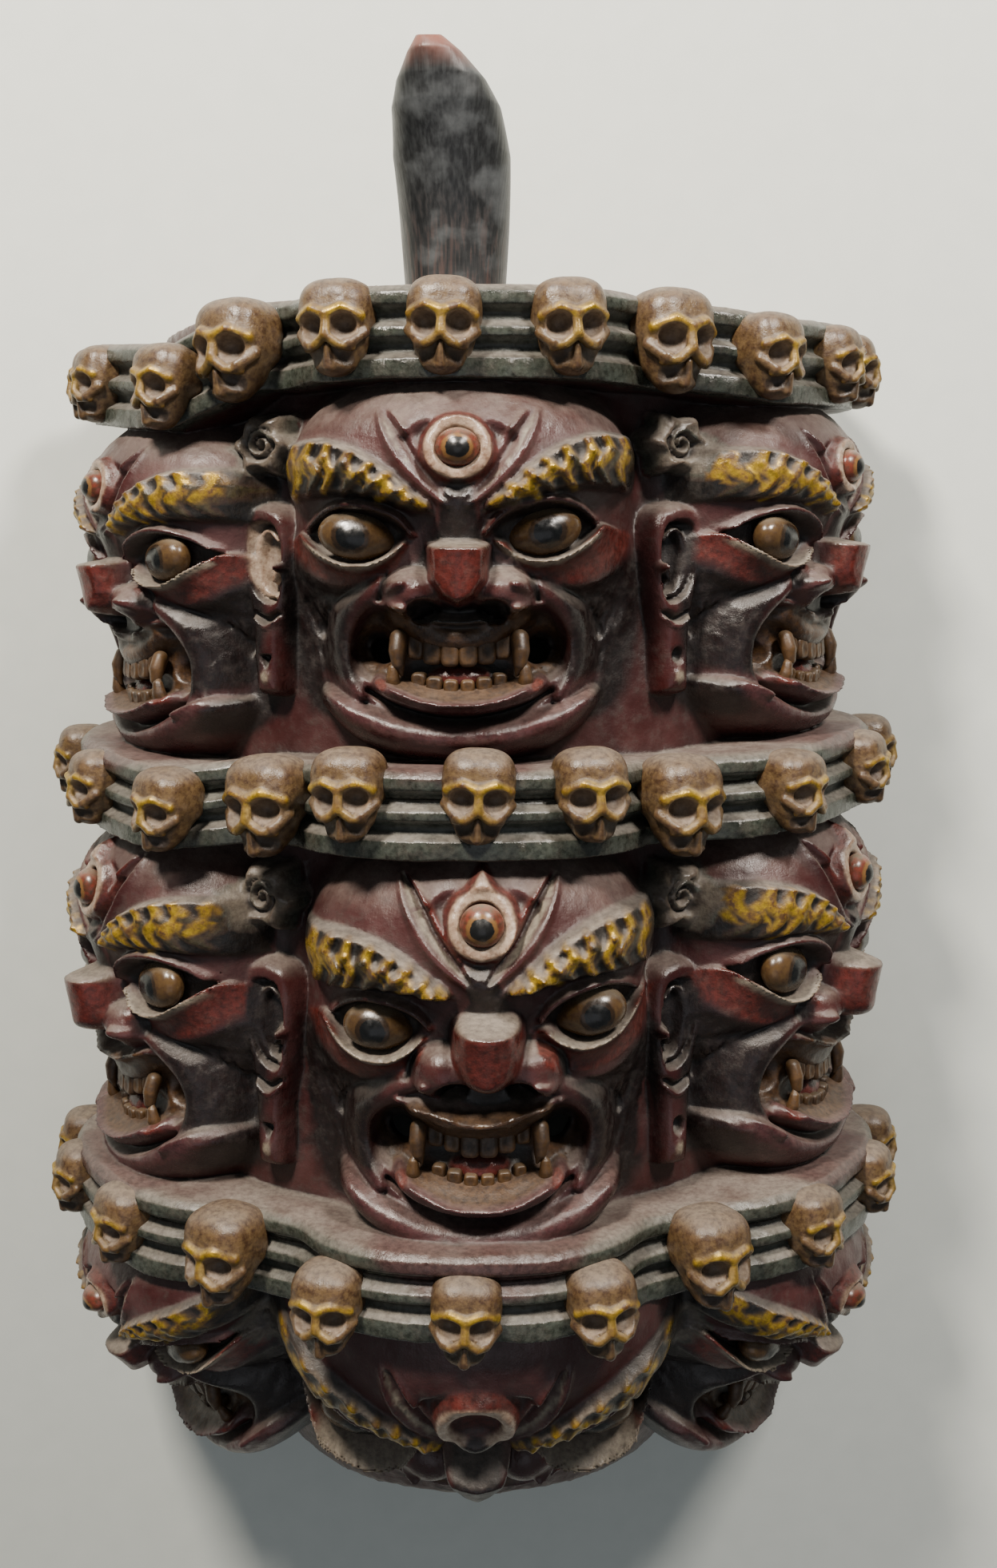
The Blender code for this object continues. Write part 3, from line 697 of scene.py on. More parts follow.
def relief_of(mesh: bpy.types.Mesh, rounds: int) -> np.ndarray:
    """How far each point stands out of its surroundings, in millimetres.

    Args:
        mesh: the carved mesh.
        rounds: how many times the surroundings are averaged.

    Returns:
        One signed height a point; hollows are negative.
    """
    points = points_of(mesh)
    normals = np.empty(len(points) * 3, dtype=np.float32)
    mesh.vertices.foreach_get("normal", normals)
    edges = np.empty(len(mesh.edges) * 2, dtype=np.int32)
    mesh.edges.foreach_get("vertices", edges)
    first, second = edges.reshape(-1, 2).T
    degree = np.bincount(edges, minlength=len(points)).astype(float)[:, None]
    smooth = points.copy()
    for _ in range(rounds):
        total = np.empty_like(smooth)
        for axis in range(3):
            total[:, axis] = (np.bincount(first, smooth[second, axis], len(points))
                              + np.bincount(second, smooth[first, axis], len(points)))
        smooth = 0.4 * smooth + 0.6 * total / np.maximum(degree, 1.0)
    return ((points - smooth) * normals.reshape(-1, 3)).sum(axis=1) / MM


def store(mesh: bpy.types.Mesh, name: str, values: np.ndarray) -> None:
    """Keep one number or four for each point of a mesh.

    Args:
        mesh: the mesh.
        name: attribute name.
        values: one column or four.
    """
    if values.ndim == 1:
        layer = mesh.attributes.new(name, "FLOAT", "POINT")
        layer.data.foreach_set("value", values.astype(np.float32))
    else:
        layer = mesh.attributes.new(name, "FLOAT_COLOR", "POINT")
        layer.data.foreach_set("color", values.astype(np.float32).ravel())


def dress(mesh: bpy.types.Mesh, block: Optional[Block], rounds: int = 12) -> None:
    """Lay paint shares and relief on a carved mesh and shade it smooth.

    Args:
        mesh: the carved mesh, still in the carver's axes.
        block: the block that it came from, or nothing for plain wood.
        rounds: smoothing rounds of the relief.
    """
    points = points_of(mesh)
    share = np.zeros((len(points), 4 * len(PAINT_LAYERS)), dtype=np.float32)
    share[:, 0] = 1.0
    if block is not None:
        share[:, :len(Zone)] = block.zones(points)
    for number, name in enumerate(PAINT_LAYERS):
        store(mesh, name, share[:, 4 * number:4 * number + 4])
    store(mesh, "relief", np.clip(relief_of(mesh, rounds), -4.0, 4.0))
    mesh.shade_smooth()


def to_frame(mesh: bpy.types.Mesh) -> None:
    """Move a mesh from the carver's axes to the frame's."""
    points = points_of(mesh)
    points[:, 0] -= OUTLINE_MIDDLE[0]
    points[:, 1] -= OUTLINE_MIDDLE[1]
    mesh.vertices.foreach_set("co", points.astype(np.float32).ravel())
    mesh.update()


def piece(name: str, mesh: bpy.types.Mesh, material: bpy.types.Material,
          stands_for: Optional[str] = None) -> bpy.types.Object:
    """Put a finished mesh in the scene as a piece of the object.

    Args:
        name: piece name.
        mesh: its mesh, in the frame's axes.
        material: its finish.
        stands_for: solid that it replaces, if any.

    Returns:
        The object.
    """
    item = bpy.data.objects.new(name, mesh)
    bpy.context.scene.collection.objects.link(item)
    mesh.materials.clear()
    mesh.materials.append(material)
    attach(item, "root")
    if stands_for is not None:
        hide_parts(stands_for)
    LOG.info("%s: %d faces", name, len(mesh.polygons))
    return item


@dataclass
class Head:
    """One wrathful head: its masses, and a drawing of its third eye, brows, eyes, nose and mouth."""

    place: Place
    pointed_ring: bool = False
    round_nose: bool = True
    mark: float = -37.0
    cant: float = 0.0
    brow_dip: float = 0.0
    eye_drop: float = 0.0
    eye_scale: float = 1.0
    nose_drop: float = 0.0
    nose_shift: float = 0.0
    mouth_drop: float = 0.0
    chin_drop: float = 0.0
    nose_reach: float = 1.0
    blade: float = 1.0
    flame: float = 1.0
    roll: float = 14.0
    eyes: Tuple[float, float] = (45.5, 45.5)
    blind: bool = False
    gate: float = 0.008
    reach: float = 0.122
    seed: int = 3

    def masses(self) -> List[Tuple[Egg, float]]:
        """The smooth forehead, cheeks and jaw with their seams."""
        return [(Egg((0.0, -44.0, -38.0), (83.0, 56.0, 60.0)), 12.0),
                (Egg((0.0, -96.0, -50.0), (83.0, 82.0, 60.0)), 12.0),
                (Egg((0.0, -158.0, -44.0), (64.0, 46.0, 52.0)), 14.0)]

    def rough_out(self, block: Block) -> None:
        """Lay the masses on a block."""
        for egg, seam in self.masses():
            block.work(self.place, egg, seam)

    def own(self, x: np.ndarray, y: np.ndarray, z: np.ndarray) -> np.ndarray:
        """Signed distance from this head's own masses."""
        value = None
        for egg, seam in self.masses():
            shape = egg.distance(self.place, x, y, z)
            value = shape if value is None else soft_min(value, shape, seam * MM)
        return value

    def flat(self, x: np.ndarray, y: np.ndarray, z: np.ndarray) -> List[np.ndarray]:
        """Places across, up and out on the drawing, in millimetres."""
        du, dv, dw = self.place.local((0.0, 0.0, 0.0), x, y, z)
        rise = dv / MM
        fold = FOLD_V * self.place.tall
        v = np.where(rise > fold, rise / self.place.tall, FOLD_V + (rise - fold) / self.place.low)
        return [du / (self.place.wide * MM), v, dw / (self.place.wide * MM)]

    def spots(self, side: float, line: Sequence[Flat], lower: float = 0.0, canted: bool = False) -> List[Flat]:
        """Put a line of the right half on one side, lowered, and canted with the head."""
        cant = self.cant if canted else 0.0
        return [(u * side, v + lower + cant * u * side) for u, v in line]

    def draw(self) -> Relief:
        """Draw every feature of the face."""
        relief = Relief((-FACE_HALF, FACE_FOOT), (FACE_HALF, FACE_TOP))
        self.draw_third_eye(relief)
        for side in (-1.0, 1.0):
            self.draw_eye(relief, side)
            self.draw_cheek(relief, side)
        self.draw_mouth(relief)
        self.draw_nose(relief)
        for side in (-1.0, 1.0):
            self.draw_brow(relief, side)
        edge = np.clip((FACE_HALF - 4.0 - np.abs(relief.u)) / 26.0, 0.0, 1.0)[:, None]
        top = np.clip(-(relief.v - 1.0) / 4.0, 0.0, 1.0)[None, :]
        relief.height *= edge * top
        relief.soften(2)
        return relief

    def draw_third_eye(self, relief: Relief) -> None:
        """Ring on the forehead, the moat round it and the slanted cuts beside it."""
        m, s = self.mark, self.nose_shift * 0.4
        moat = [(-28, m + 6), (-20, m - 9), (-11, m - 20), (0, m - 26), (11, m - 20),
                (20, m - 9), (28, m + 6), (15, m + 14), (0, m + 17), (-15, m + 14)]
        relief.pad([(u + s, v) for u, v in moat], -4, 6, 1)
        for side in (-1, 1):
            outer = [(35.5, m + 21), (32.5, m + 10), (25, m - 5), (15, m - 18), (4, m - 28)]
            inner = [(34, m + 20), (26, m + 9), (18.5, m - 5), (10.5, m - 17), (4, m - 27)]
            relief.slope(self.spots(side, outer), self.spots(side, inner), 0, -6.5 * self.blade, 1, Zone.DUST,
                         0.5 * self.blade)
            rim = [(31, m + 20), (23.5, m + 8), (16.5, m - 6), (8.5, m - 18)]
            relief.ridge(self.spots(side, rim), (0.6, 2.4, 2.6, 1.2), 1.4 + 2 * self.blade, 0.7,
                         Zone.RED if self.blade > 0.5 else None, -0.4)
            sill = [(37, m + 21), (34.5, m + 9), (27, m - 7), (16, m - 20.5), (5, m - 30)]
            relief.ridge(self.spots(side, sill), (0.8, 2.2, 2.4, 1.4), 2.2, 0.8)
        ring = []
        for i in range(16):
            turn = math.radians(90 + 22.5 * i)
            ring.append((17 * math.cos(turn) + s, m + 18 * math.sin(turn)))
        if self.pointed_ring:
            ring[0] = (s, m + 27)
        relief.pad(ring, 7.5, 3, 0.5, Zone.ROSE, 0)
        relief.ridge(ring + [ring[0]], (1.5,), 0.6, 1, Zone.RED, 0.2)
        relief.dome((s, m), (10.6, 10.6), -6, 0.35, 0, Zone.RED, -0.4)

    def draw_eye(self, relief: Relief, side: float) -> None:
        """Socket, upper lid and the rolled crescent under one eye."""
        drop, shift, size = self.eye_drop, self.eyes[int(side > 0)] - 45.5, 0.25 + 0.72 * self.eye_scale

        def fitted(line: Sequence[Flat]) -> List[Flat]:
            """Fit a line of the socket to the ball, on this side of the face."""
            near = [(46 + (u - 46) * size + shift, -78 + (v + 78) * size) for u, v in line]
            return self.spots(side, near, drop, True)

        # the socket round the eyeball is painted near black: soot and painted shade
        socket = [(20, -77), (30, -67), (45, -62), (60, -62), (71, -69), (72, -80),
                  (62, -90), (46, -94.5), (31, -90)]
        relief.pad(fitted(socket), -3, 5, 0.8,
                   Zone.SOOT_AND_SHADE, -1)
        lid = [(19, -79), (27, -69.5), (40, -63.8), (53, -62), (64, -65.5), (73, -73)]
        relief.ridge(fitted(lid), 
                     (1.4, 2.8, 3.4, 3.6, 3, 1.6), 7, 0.6)
        inner = [(23, -83), (30, -89), (42, -94), (54, -93), (65, -87), (73, -79),
                 (77, -75)]
        outer = [(23, -84), (31, -99), (43, -107), (56, -109), (70, -105), (80, -96),
                 (85, -80)]
        relief.slope(fitted(inner), self.spots(side, outer, drop, True), self.roll, 1, 0.36,
                     Zone.RED, 0.95)
        ledge = [(24, -84.5), (31, -90.5), (42, -95.6), (54, -94.8), (65, -89), (75, -81)]
        relief.ridge(fitted(ledge), (0.8, 2, 2.4, 2.4, 2, 1), 1, 1, Zone.DUST, 0)

    def draw_cheek(self, relief: Relief, side: float) -> None:
        """Dark hollow of the cheek, its wavy cuts, and the fold that goes round the mouth."""
        low = self.mouth_drop
        # the cheek hollow is sunk and painted near black: soot and painted shade
        hollow = [(34, -104), (50, -109), (66, -107), (80, -100), (84, -118), (76, -134),
                  (66, -140), (60, -126), (46, -114)]
        relief.pad(self.spots(side, hollow), -4.5, 8, 1, Zone.SOOT_AND_SHADE, -1.5)
        for i in range(5):
            start = 63 + 3.6 * i
            wave = [(start - 3, -111 - i), (start + 1.5, -119 - i), (start - 1.5, -127 - 1.5 * i),
                    (start + 1, -136 - 2 * i), (start - 1.5, -146 - 2 * i)]
            relief.ridge(self.spots(side, wave), (0.7, 1.5, 1.6, 1.5, 0.5), -2.2, 1, Zone.BLACK_AND_SHADE, 0.2)
        fold = [(27, -107), (40, -111.5), (52, -121 + 0.4 * low), (58.5, -135 + 0.7 * low),
                (57.5, -150 + low), (49, -163 + low)]
        relief.ridge(self.spots(side, fold), (4, 7, 9, 9.6, 8.6, 5), 5, 1)
        outside = [(40, -105.5), (55, -113), (65, -126), (68.5, -142 + 0.5 * low),
                   (66, -158 + low)]
        relief.ridge(self.spots(side, outside), (1, 2.2, 2.6, 2.6, 1), -2, 1)
        # a soft near-black wash over the lower cheek and side of the jaw: black cheek paint and painted shade
        shade = [(36, -102), (60, -106), (88, -88), (92, -130), (80, -178), (54, -180 + low),
                 (46, -156 + low), (50, -132), (42, -114)]
        relief.wash(self.spots(side, shade), Zone.SOOT_AND_SHADE, 1, 5)

    def draw_nose(self, relief: Relief) -> None:
        """Sunken bridge, tip, wings and nostrils."""
        d, s = self.nose_drop, self.nose_shift
        bridge = [(0, -54 + 0.5 * d), (s, -64 + 0.8 * d), (s, -72 + d)]
        relief.ridge(bridge, (9, 11, 13), 3.5, 1, Zone.SOOT_AND_SHADE, -2)
        for side in (-1, 1):
            relief.dome((s + 21.5 * side, -101 + d), (14.5, 13.5), 18 * self.nose_reach, 0.45)
            # the creases beside the nose wings are painted near black: soot and painted shade
            relief.dome((s + 35.5 * side, -98 + d), (2.4, 9), -3, 1, 16 * side, Zone.SOOT_AND_SHADE, 0)
        if self.round_nose:
            outline = [(s - 16.5, -78 + d), (s - 12, -71.5 + d), (s, -70 + d), (s + 12, -71.5 + d),
                       (s + 16.5, -78 + d), (s + 16.8, -92 + d), (s + 12, -104 + d),
                       (s, -109 + d), (s - 12, -104 + d), (s - 16.8, -92 + d)]
            front, top, under, sides = 29, 3.8, 0.35, 0.10
        else:
            outline = [(s - 14.5, -75 + d), (s - 8, -73 + d), (s + 8, -73 + d), (s + 14.5, -75 + d),
                       (s + 14, -94 + d), (s + 8.5, -104 + d), (s, -109 + d), (s - 8.5, -104 + d),
                       (s - 14, -94 + d)]
            front, top, under, sides = 26, 3.6, 0.3, 0.22
        line = smooth_line(outline + [outline[0]], 3 if self.round_nose else 1)
        if not self.round_nose:
            line = np.array(outline + [outline[0]])
        part, u, v = relief.part(line, 1)
        deep = np.where(within(line[:-1], u, v), from_line(line, u, v)[0], 0)
        facet = np.minimum(front - 0.018 * (u - s) ** 2 * (1 if self.round_nose else 0)
                           - sides * np.abs(u - s), front + 7 + (-86 + d - v) * -under)
        facet = np.minimum(facet, 9 + (-72 + d - v) * top) * self.nose_reach
        edge = 7.5 if self.round_nose else 4.5
        bulge = facet * np.sqrt(1 - (1 - np.clip(deep / edge, 0, 1)) ** 2)
        relief.height[part] = np.where(deep > 0, np.maximum(relief.height[part], bulge), relief.height[part])
        red = np.clip(deep / 1, 0, 1) * np.clip((-76.5 + d - v) / 2, 0, 1)
        if not self.blind:
            relief.paint(part, np.clip(deep / 1, 0, 1) * np.clip((v + 78.5 - d) / 4, 0, 0.6), Zone.DUST)
        relief.paint(part, red, Zone.SOOT_AND_SHADE if self.blind else Zone.RED)
        # the nostril pits are painted black: black paint and painted shade
        for side in (-1, 1):
            relief.dome((s + 16.5 * side, -110.5 + d), (7.6, 6.4), -15, 0.6, -14 * side, Zone.BLACK_AND_SHADE, 0.4)
        # the patch under the nose is sunk and painted black as painted shade
        shade = [(s - 26, -106 + d), (s, -106 + d), (s + 26, -106 + d), (s + 22, -116 + d),
                 (s, -122 + d), (s - 22, -116 + d)]
        relief.pad(shade, -3, 5, 1, Zone.BLACK_AND_SHADE, -2)

    def draw_mouth(self, relief: Relief) -> None:
        """Open mouth with gums, thin upper lip, rolled lower lip and chin."""
        low, chin = self.mouth_drop, self.chin_drop
        half = [(14, -127), (28, -121), (42, -121), (51, -130 + 0.6 * low), (52, -142 + low),
                (46, -153 + low), (30, -161 + low), (14, -165 + low)]
        cavity = self.spots(1, half) + self.spots(-1, half)[::-1]
        relief.pad(cavity, -9, 8, 0.9, Zone.GUM, -3)
        # the middle of the open mouth is painted black as painted shade
        relief.dome((0, -147 + low), (30, 9), -4, 0.6, 0, Zone.BLACK_AND_SHADE, -1)
        # the mouth corners round the see-through holes are painted black as painted shade
        for side in (-1, 1):
            relief.dome((39 * side, -136 + low), (9.5, 11), -5, 0.7, 0, Zone.BLACK_AND_SHADE, -2)
        gum = whole([(0, -132 + 0.8 * low), (15, -129.5 + 0.7 * low), (30, -123 + 0.5 * low)])
        relief.ridge(gum, (6, 9.5, 10, 9.5, 6), 10, 0.7, Zone.GUM, 1)
        lip = whole([(0, -125 + 0.5 * low), (10, -123.5 + 0.5 * low), (24, -119 + 0.4 * low),
                     (38, -117 + 0.3 * low)])
        relief.ridge(lip, (2, 2.8, 3, 3, 3, 2.8, 2), 5, 0.6)
        relief.dome((0, -151 + low), (15, 6), 6, 0.5, 0, Zone.RED, 0)
        floor = whole([(0, -163 + low), (15, -161.5 + low), (31, -156 + low)])
        relief.ridge(floor, (4, 5, 5, 5, 4), 9, 0.6, Zone.GUM, 0)
        crease = whole([(0, -175.8 + low), (15, -174 + low), (31, -168.5 + low), (44, -160 + low)])
        under = whole([(0, -185 + chin), (26, -182.5 + chin), (48, -173 + chin), (64, -160 + chin)])
        relief.ridge(under, (8, 13, 14, 14, 14, 13, 8), 13, 0.6)
        # the crease under the lower lip is painted black as painted shade
        relief.ridge(crease, (1.6, 2.6, 2.8, 2.8, 2.8, 2.6, 1.6), -7, 0.9, Zone.BLACK_AND_SHADE, -0.8)
        lower = [(-38, -154 + low), (-33, -160 + low), (-17, -166.8 + low), (0, -168.8 + low),
                 (17, -166.8 + low), (33, -160 + low), (38.5, -154 + low)]
        relief.ridge(lower, (3.6, 4.4, 4.2, 4.2, 4.2, 4.4, 3.6), 9, 0.5, Zone.LIP, 0)
        half = [(0, -204 + chin), (40, -194 + chin), (70, -160), (46, -156 + low),
                (26, -171 + low), (0, -174 + low)]
        relief.wash(self.spots(1, half) + self.spots(-1, half[1:-1])[::-1], Zone.LIP, 0.75, 5)
        for side in (-1, 1):
            relief.dome((37 * side, -156 + low), (4.6, 5), 0.6, 1, 0, Zone.RED, -0.8)

    def draw_brow(self, relief: Relief, side: float) -> None:
        """Broad brow with a dusty top edge and hanging gold flames."""
        def dipped(line: Sequence[Flat]) -> List[Flat]:
            """Lower the inner end of the brow."""
            return [(u, v + self.brow_dip * max(0, 1 - u / 60)) for u, v in line]

        top = dipped([(12, -61.5), (21, -53), (32, -43.5), (45, -35.5), (60, -30.5), (74, -29),
                      (85, -31)])
        foot = dipped([(12, -62.5), (23, -62), (35, -59.5), (48, -58.5), (61, -59), (74, -60),
                       (84, -58)])
        outline = self.spots(side, top + foot[::-1], 0, True)
        relief.pad(outline, 2 + 6 * self.flame, 3.6, 0.6, Zone.BLACK_AND_SHADE, 0.6)
        relief.ridge(self.spots(side, top[:-1], -1.8, True), (0.8, 1.3, 1.6, 1.7, 1.6, 1), 2, 0.6,
                     Zone.DUST, -0.6)
        rng = np.random.default_rng(self.seed + (7 if side > 0 else 0))
        top_line, foot_line = smooth_line(top, 10), smooth_line(foot, 10)
        for number in range(8):
            at = 6 + int(6.6 * number)
            start, end = top_line[at], foot_line[min(at + 1, len(foot_line) - 1)]
            run = end - start
            shake = rng.uniform(-1, 1, 5)
            line = [start + run * 0.10 + (0.8, 0), start + run * 0.34 + (2.6 + 1.2 * shake[0], 0),
                    start + run * 0.60 + (-2.2 + 1.2 * shake[1], 0), start + run * 0.80 + (-0.4, 0),
                    start + run * (0.95 + 0.06 * shake[2]) + (1.8, 0)]
            wide = 3.4 + 0.4 * shake[3]
            spots = self.spots(side, [tuple(p) for p in line], 0, True)
            relief.ridge(spots, (wide * 0.8, wide * 1.1, wide, wide * 0.8, 0.9), 4 * self.flame, 0.55,
                         Zone.OLIVE, 0)
            keep = 3 + int(rng.integers(0, 3))
            relief.ridge(spots[:keep], (wide * 0.8, wide, wide * 0.8), 0.2, 1, Zone.GOLD, -0.4)
            hook = [line[1] + (0.5, 0.5), line[1] + (3.8, -1.6), line[2] + (5, -0.5), line[2] + (3.2, -2.8)]
            relief.ridge(self.spots(side, [tuple(p) for p in hook], 0, True), (1.8, 2.3, 1.8, 0.8),
                         2.4 * self.flame, 0.6, Zone.GOLD if shake[4] > 0.1 else Zone.OLIVE, -0.2)

    def carve(self, block: Block) -> None:
        """Move the surface of a block by the drawing's heights."""
        relief = self.draw()
        centre = self.place.point((0.0, -100.0, 0.0))
        part, grids = block.window(centre, self.reach * max(self.place.wide, self.place.tall))
        if min(s.stop - s.start for s in part) < 1:
            return
        u, v, w = self.flat(*grids)
        value = block.value[part]
        near = (np.abs(u) < FACE_HALF - 1.0) & (v > FACE_FOOT + 1.0) & (v < FACE_TOP) & (w > FACE_BACK)
        near &= (value < 0.045) & (value > -0.02)
        rows = np.nonzero(near)
        spots = [np.broadcast_to(grid, value.shape)[rows] for grid in grids]
        height = relief.read(relief.height, u[rows], v[rows]) * MM * self.place.wide
        share = np.clip(1.0 - (self.own(*spots) - value[rows]) / self.gate, 0.0, 1.0)
        share *= np.clip((w[rows] - FACE_BACK) / 8.0, 0.0, 1.0)
        value[rows] -= (height * share).astype(np.float32)
        block.drawings.append((self, relief))

    def seen(self, points: np.ndarray, relief: Relief) -> Tuple[np.ndarray, np.ndarray]:
        """Paint shares of the surface points that this head's drawing covers.

        Args:
            points: world points, one a row.
            relief: the drawing.

        Returns:
            Numbers of the covered points, and their shares.
        """
        u, v, w = self.flat(points[:, 0], points[:, 1], points[:, 2])
        near = (np.abs(u) < FACE_HALF - 4.0) & (v > FACE_FOOT + 1.0) & (v < FACE_TOP - 1.0)
        rows = np.nonzero(near & (w > FACE_BACK + 2.0))[0]
        gap = self.own(points[rows, 0], points[rows, 1], points[rows, 2])
        rows = rows[(gap > -0.016) & (gap < 0.045)]
        return rows, relief.read(relief.share, u[rows], v[rows])

    def cut_holes(self, block: Block) -> None:
        """Openings through the wall at the corners of the mouth."""
        v = UPPER_GUM_V + self.mouth_drop
        for side in (-1.0, 1.0):
            hole = ((37.0 * side, v, -50.0), (37.0 * side, v, 20.0))
            block.work(self.place, Bar(hole, (6.2, 6.2)), 1.0, True)


@dataclass
class Ear:
    """A long ear with a curled rim and a slit lobe, under a cloud-shaped flower."""

    place: Place
    side: float
    top: float = -58.0
    rosy: bool = False
    notched: bool = False
    sunk: float = 4.0
    reach: float = 0.108
    seam: float = 0.0016

    def spots(self, line: Sequence[Flat]) -> List[Flat]:
        """Put a line of a right ear on this side."""
        return [(u * self.side, v) for u, v in line]

    def draw(self) -> Relief:
        """Draw the flower, the ear and its lobe."""
        relief = Relief((-EAR_HALF, EAR_FOOT), (EAR_HALF, EAR_TOP))
        self.draw_flower(relief)
        t = self.top
        tone = Zone.ROSE if self.rosy else Zone.SOOT_AND_SHADE
        outline = [(0, t + 2), (10, t), (16.5, t - 8), (17.5, t - 24), (14.5, t - 42), (11, t - 58),
                   (10, t - 76), (9.5, t - 96), (7, t - 101.5), (-6, t - 101), (-8.5, t - 95),
                   (-9, t - 70), (-12, t - 54), (-15, t - 36), (-16.5, t - 16), (-12, t - 3)]
        relief.pad(self.spots(outline), 15, 6, 0.5)
        # unless the ear is rosy, its bowl is painted near black: soot and painted shade
        bowl = [(1, t - 8), (8, t - 10), (11, t - 20), (9.5, t - 36), (4, t - 48),
                (-6, t - 52), (-9.5, t - 42), (-10.5, t - 24), (-7, t - 11)]
        relief.pad(self.spots(bowl), -11, 4, 0.8, tone, -0.6)
        fold = [(-6, t - 19), (-1, t - 13.5), (4, t - 17), (6, t - 27), (5, t - 38),
                (0.5, t - 46), (-6, t - 48)]
        relief.ridge(self.spots(fold), (1.6, 2.4, 2.8, 3, 3, 2.8, 1.8), 7.5, 0.6,
                     Zone.ROSE if self.rosy else None, -0.6)
        knob = [(-10, t - 33), (-5, t - 35), (-3, t - 40)]
        relief.ridge(self.spots(knob), (3, 3.6, 2), 8, 0.6)
        # the groove over the lobe is painted near black: soot and painted shade
        arc = [(-7, t - 57), (-1, t - 60.5), (6, t - 57)]
        relief.ridge(self.spots(arc), (1.6, 2.6, 1.6), -4, 0.9, Zone.SOOT_AND_SHADE, 0)
        relief.ridge(self.spots([(-7.5, t - 60.5), (-1, t - 64.5), (7, t - 60)]), (1, 1.8, 1), 1.6, 0.7)
        # the lobe's notch or hole is painted black as painted shade
        if self.notched:
            notch = [(-3.5, t - 79), (4, t - 79), (0.5, t - 87)]
            relief.pad(notch, -6, 2, 0.8, Zone.BLACK_AND_SHADE, 0.3, 1)
        else:
            relief.dome((0.5, t - 80), (3.4, 4.6), -6, 0.5, 0, Zone.BLACK_AND_SHADE, 0.2)
        relief.dome((0.3, t - 91), (3.6, 4.6), 1.6, 0.6, 0, Zone.DUST, -0.8)
        return relief

    def draw_flower(self, relief: Relief) -> None:
        """Cloud-shaped flower with a curled middle."""
        v = -27
        ring = []
        for i in range(40):
            turn = math.radians(9 * i)
            reach = 17.5 + 2.2 * math.cos(6 * turn + 0.4)
            ring.append((reach * math.cos(turn), v + 0.95 * reach * math.sin(turn)))
        relief.pad(ring, 17, 5.5, 0.5, Zone.BAND, 0.4, 1)
        relief.wash(ring, Zone.DUST, 0.45, 3)
        # the flower's middle pit is painted black as painted shade
        relief.dome((0, v), (10, 9.5), -6, 0.7, 0, Zone.BLACK_AND_SHADE, -1)
        for i in range(6):
            turn = math.radians(60 * i + 4)
            tip = (12.6 * math.cos(turn), v + 12 * math.sin(turn))
            back = (9 * math.cos(turn + 0.5), v + 8.6 * math.sin(turn + 0.5))
            relief.ridge([tip, back], (2.2, 1.2), 1.6, 0.7)
        curl = []
        for i in range(14):
            turn = math.radians(20 + 40 * i)
            reach = 7.4 - 0.42 * i
            curl.append((reach * math.cos(turn), v + reach * math.sin(turn)))
        relief.ridge(curl, (1.7, 1.5), 5, 0.6, Zone.BAND, 0)
        relief.wash([(across * 0.5, v + (up - v) * 0.5) for across, up in ring], Zone.DUST, 0.3, 3)

    def flat(self, x: np.ndarray, y: np.ndarray, z: np.ndarray) -> List[np.ndarray]:
        """Places across, up and out on the drawing, in millimetres."""
        du, dv, dw = self.place.local((0.0, 0.0, 0.0), x, y, z)
        return [du / MM, dv / (self.place.tall * MM), dw / MM]

    def carve(self, block: Block) -> None:
        """Raise the drawing from the surface of the body."""
        relief = self.draw()
        centre = self.place.point((0.0, -80.0, 0.0))
        part, grids = block.window(centre, self.reach)
        if min(s.stop - s.start for s in part) < 1:
            return
        u, v, w = self.flat(*grids)
        value = block.value[part]
        near = (np.abs(u) < EAR_HALF - 1.0) & (v > EAR_FOOT + 1.0) & (v < EAR_TOP - 1.0)
        near &= (w > EAR_BACK) & (w < EAR_BACK + 60.0)
        rows = np.nonzero(near)
        height = relief.read(relief.height, u[rows], v[rows])
        # 0.7 keeps the distance short where the drawing is steep, and 5 cm is clear of everything
        raised = np.where(height > 0.5, (w[rows] + self.sunk - height) * 0.7 * MM, 0.05)
        value[rows] = soft_min(value[rows], raised.astype(np.float32), self.seam)
        block.drawings.append((self, relief))

    def seen(self, points: np.ndarray, relief: Relief) -> Tuple[np.ndarray, np.ndarray]:
        """Paint shares of the surface points that this ear's drawing covers.

        Args:
            points: world points, one a row.
            relief: the drawing.

        Returns:
            Numbers of the covered points, and their shares.
        """
        u, v, w = self.flat(points[:, 0], points[:, 1], points[:, 2])
        near = (np.abs(u) < EAR_HALF - 2.0) & (v > EAR_FOOT + 2.0) & (v < EAR_TOP - 2.0)
        rows = np.nonzero(near & (w > EAR_BACK + 12.0) & (w < EAR_BACK + 52.0))[0]
        height = relief.read(relief.height, u[rows], v[rows])
        rows = rows[height > 1.0]
        return rows, relief.read(relief.share, u[rows], v[rows])


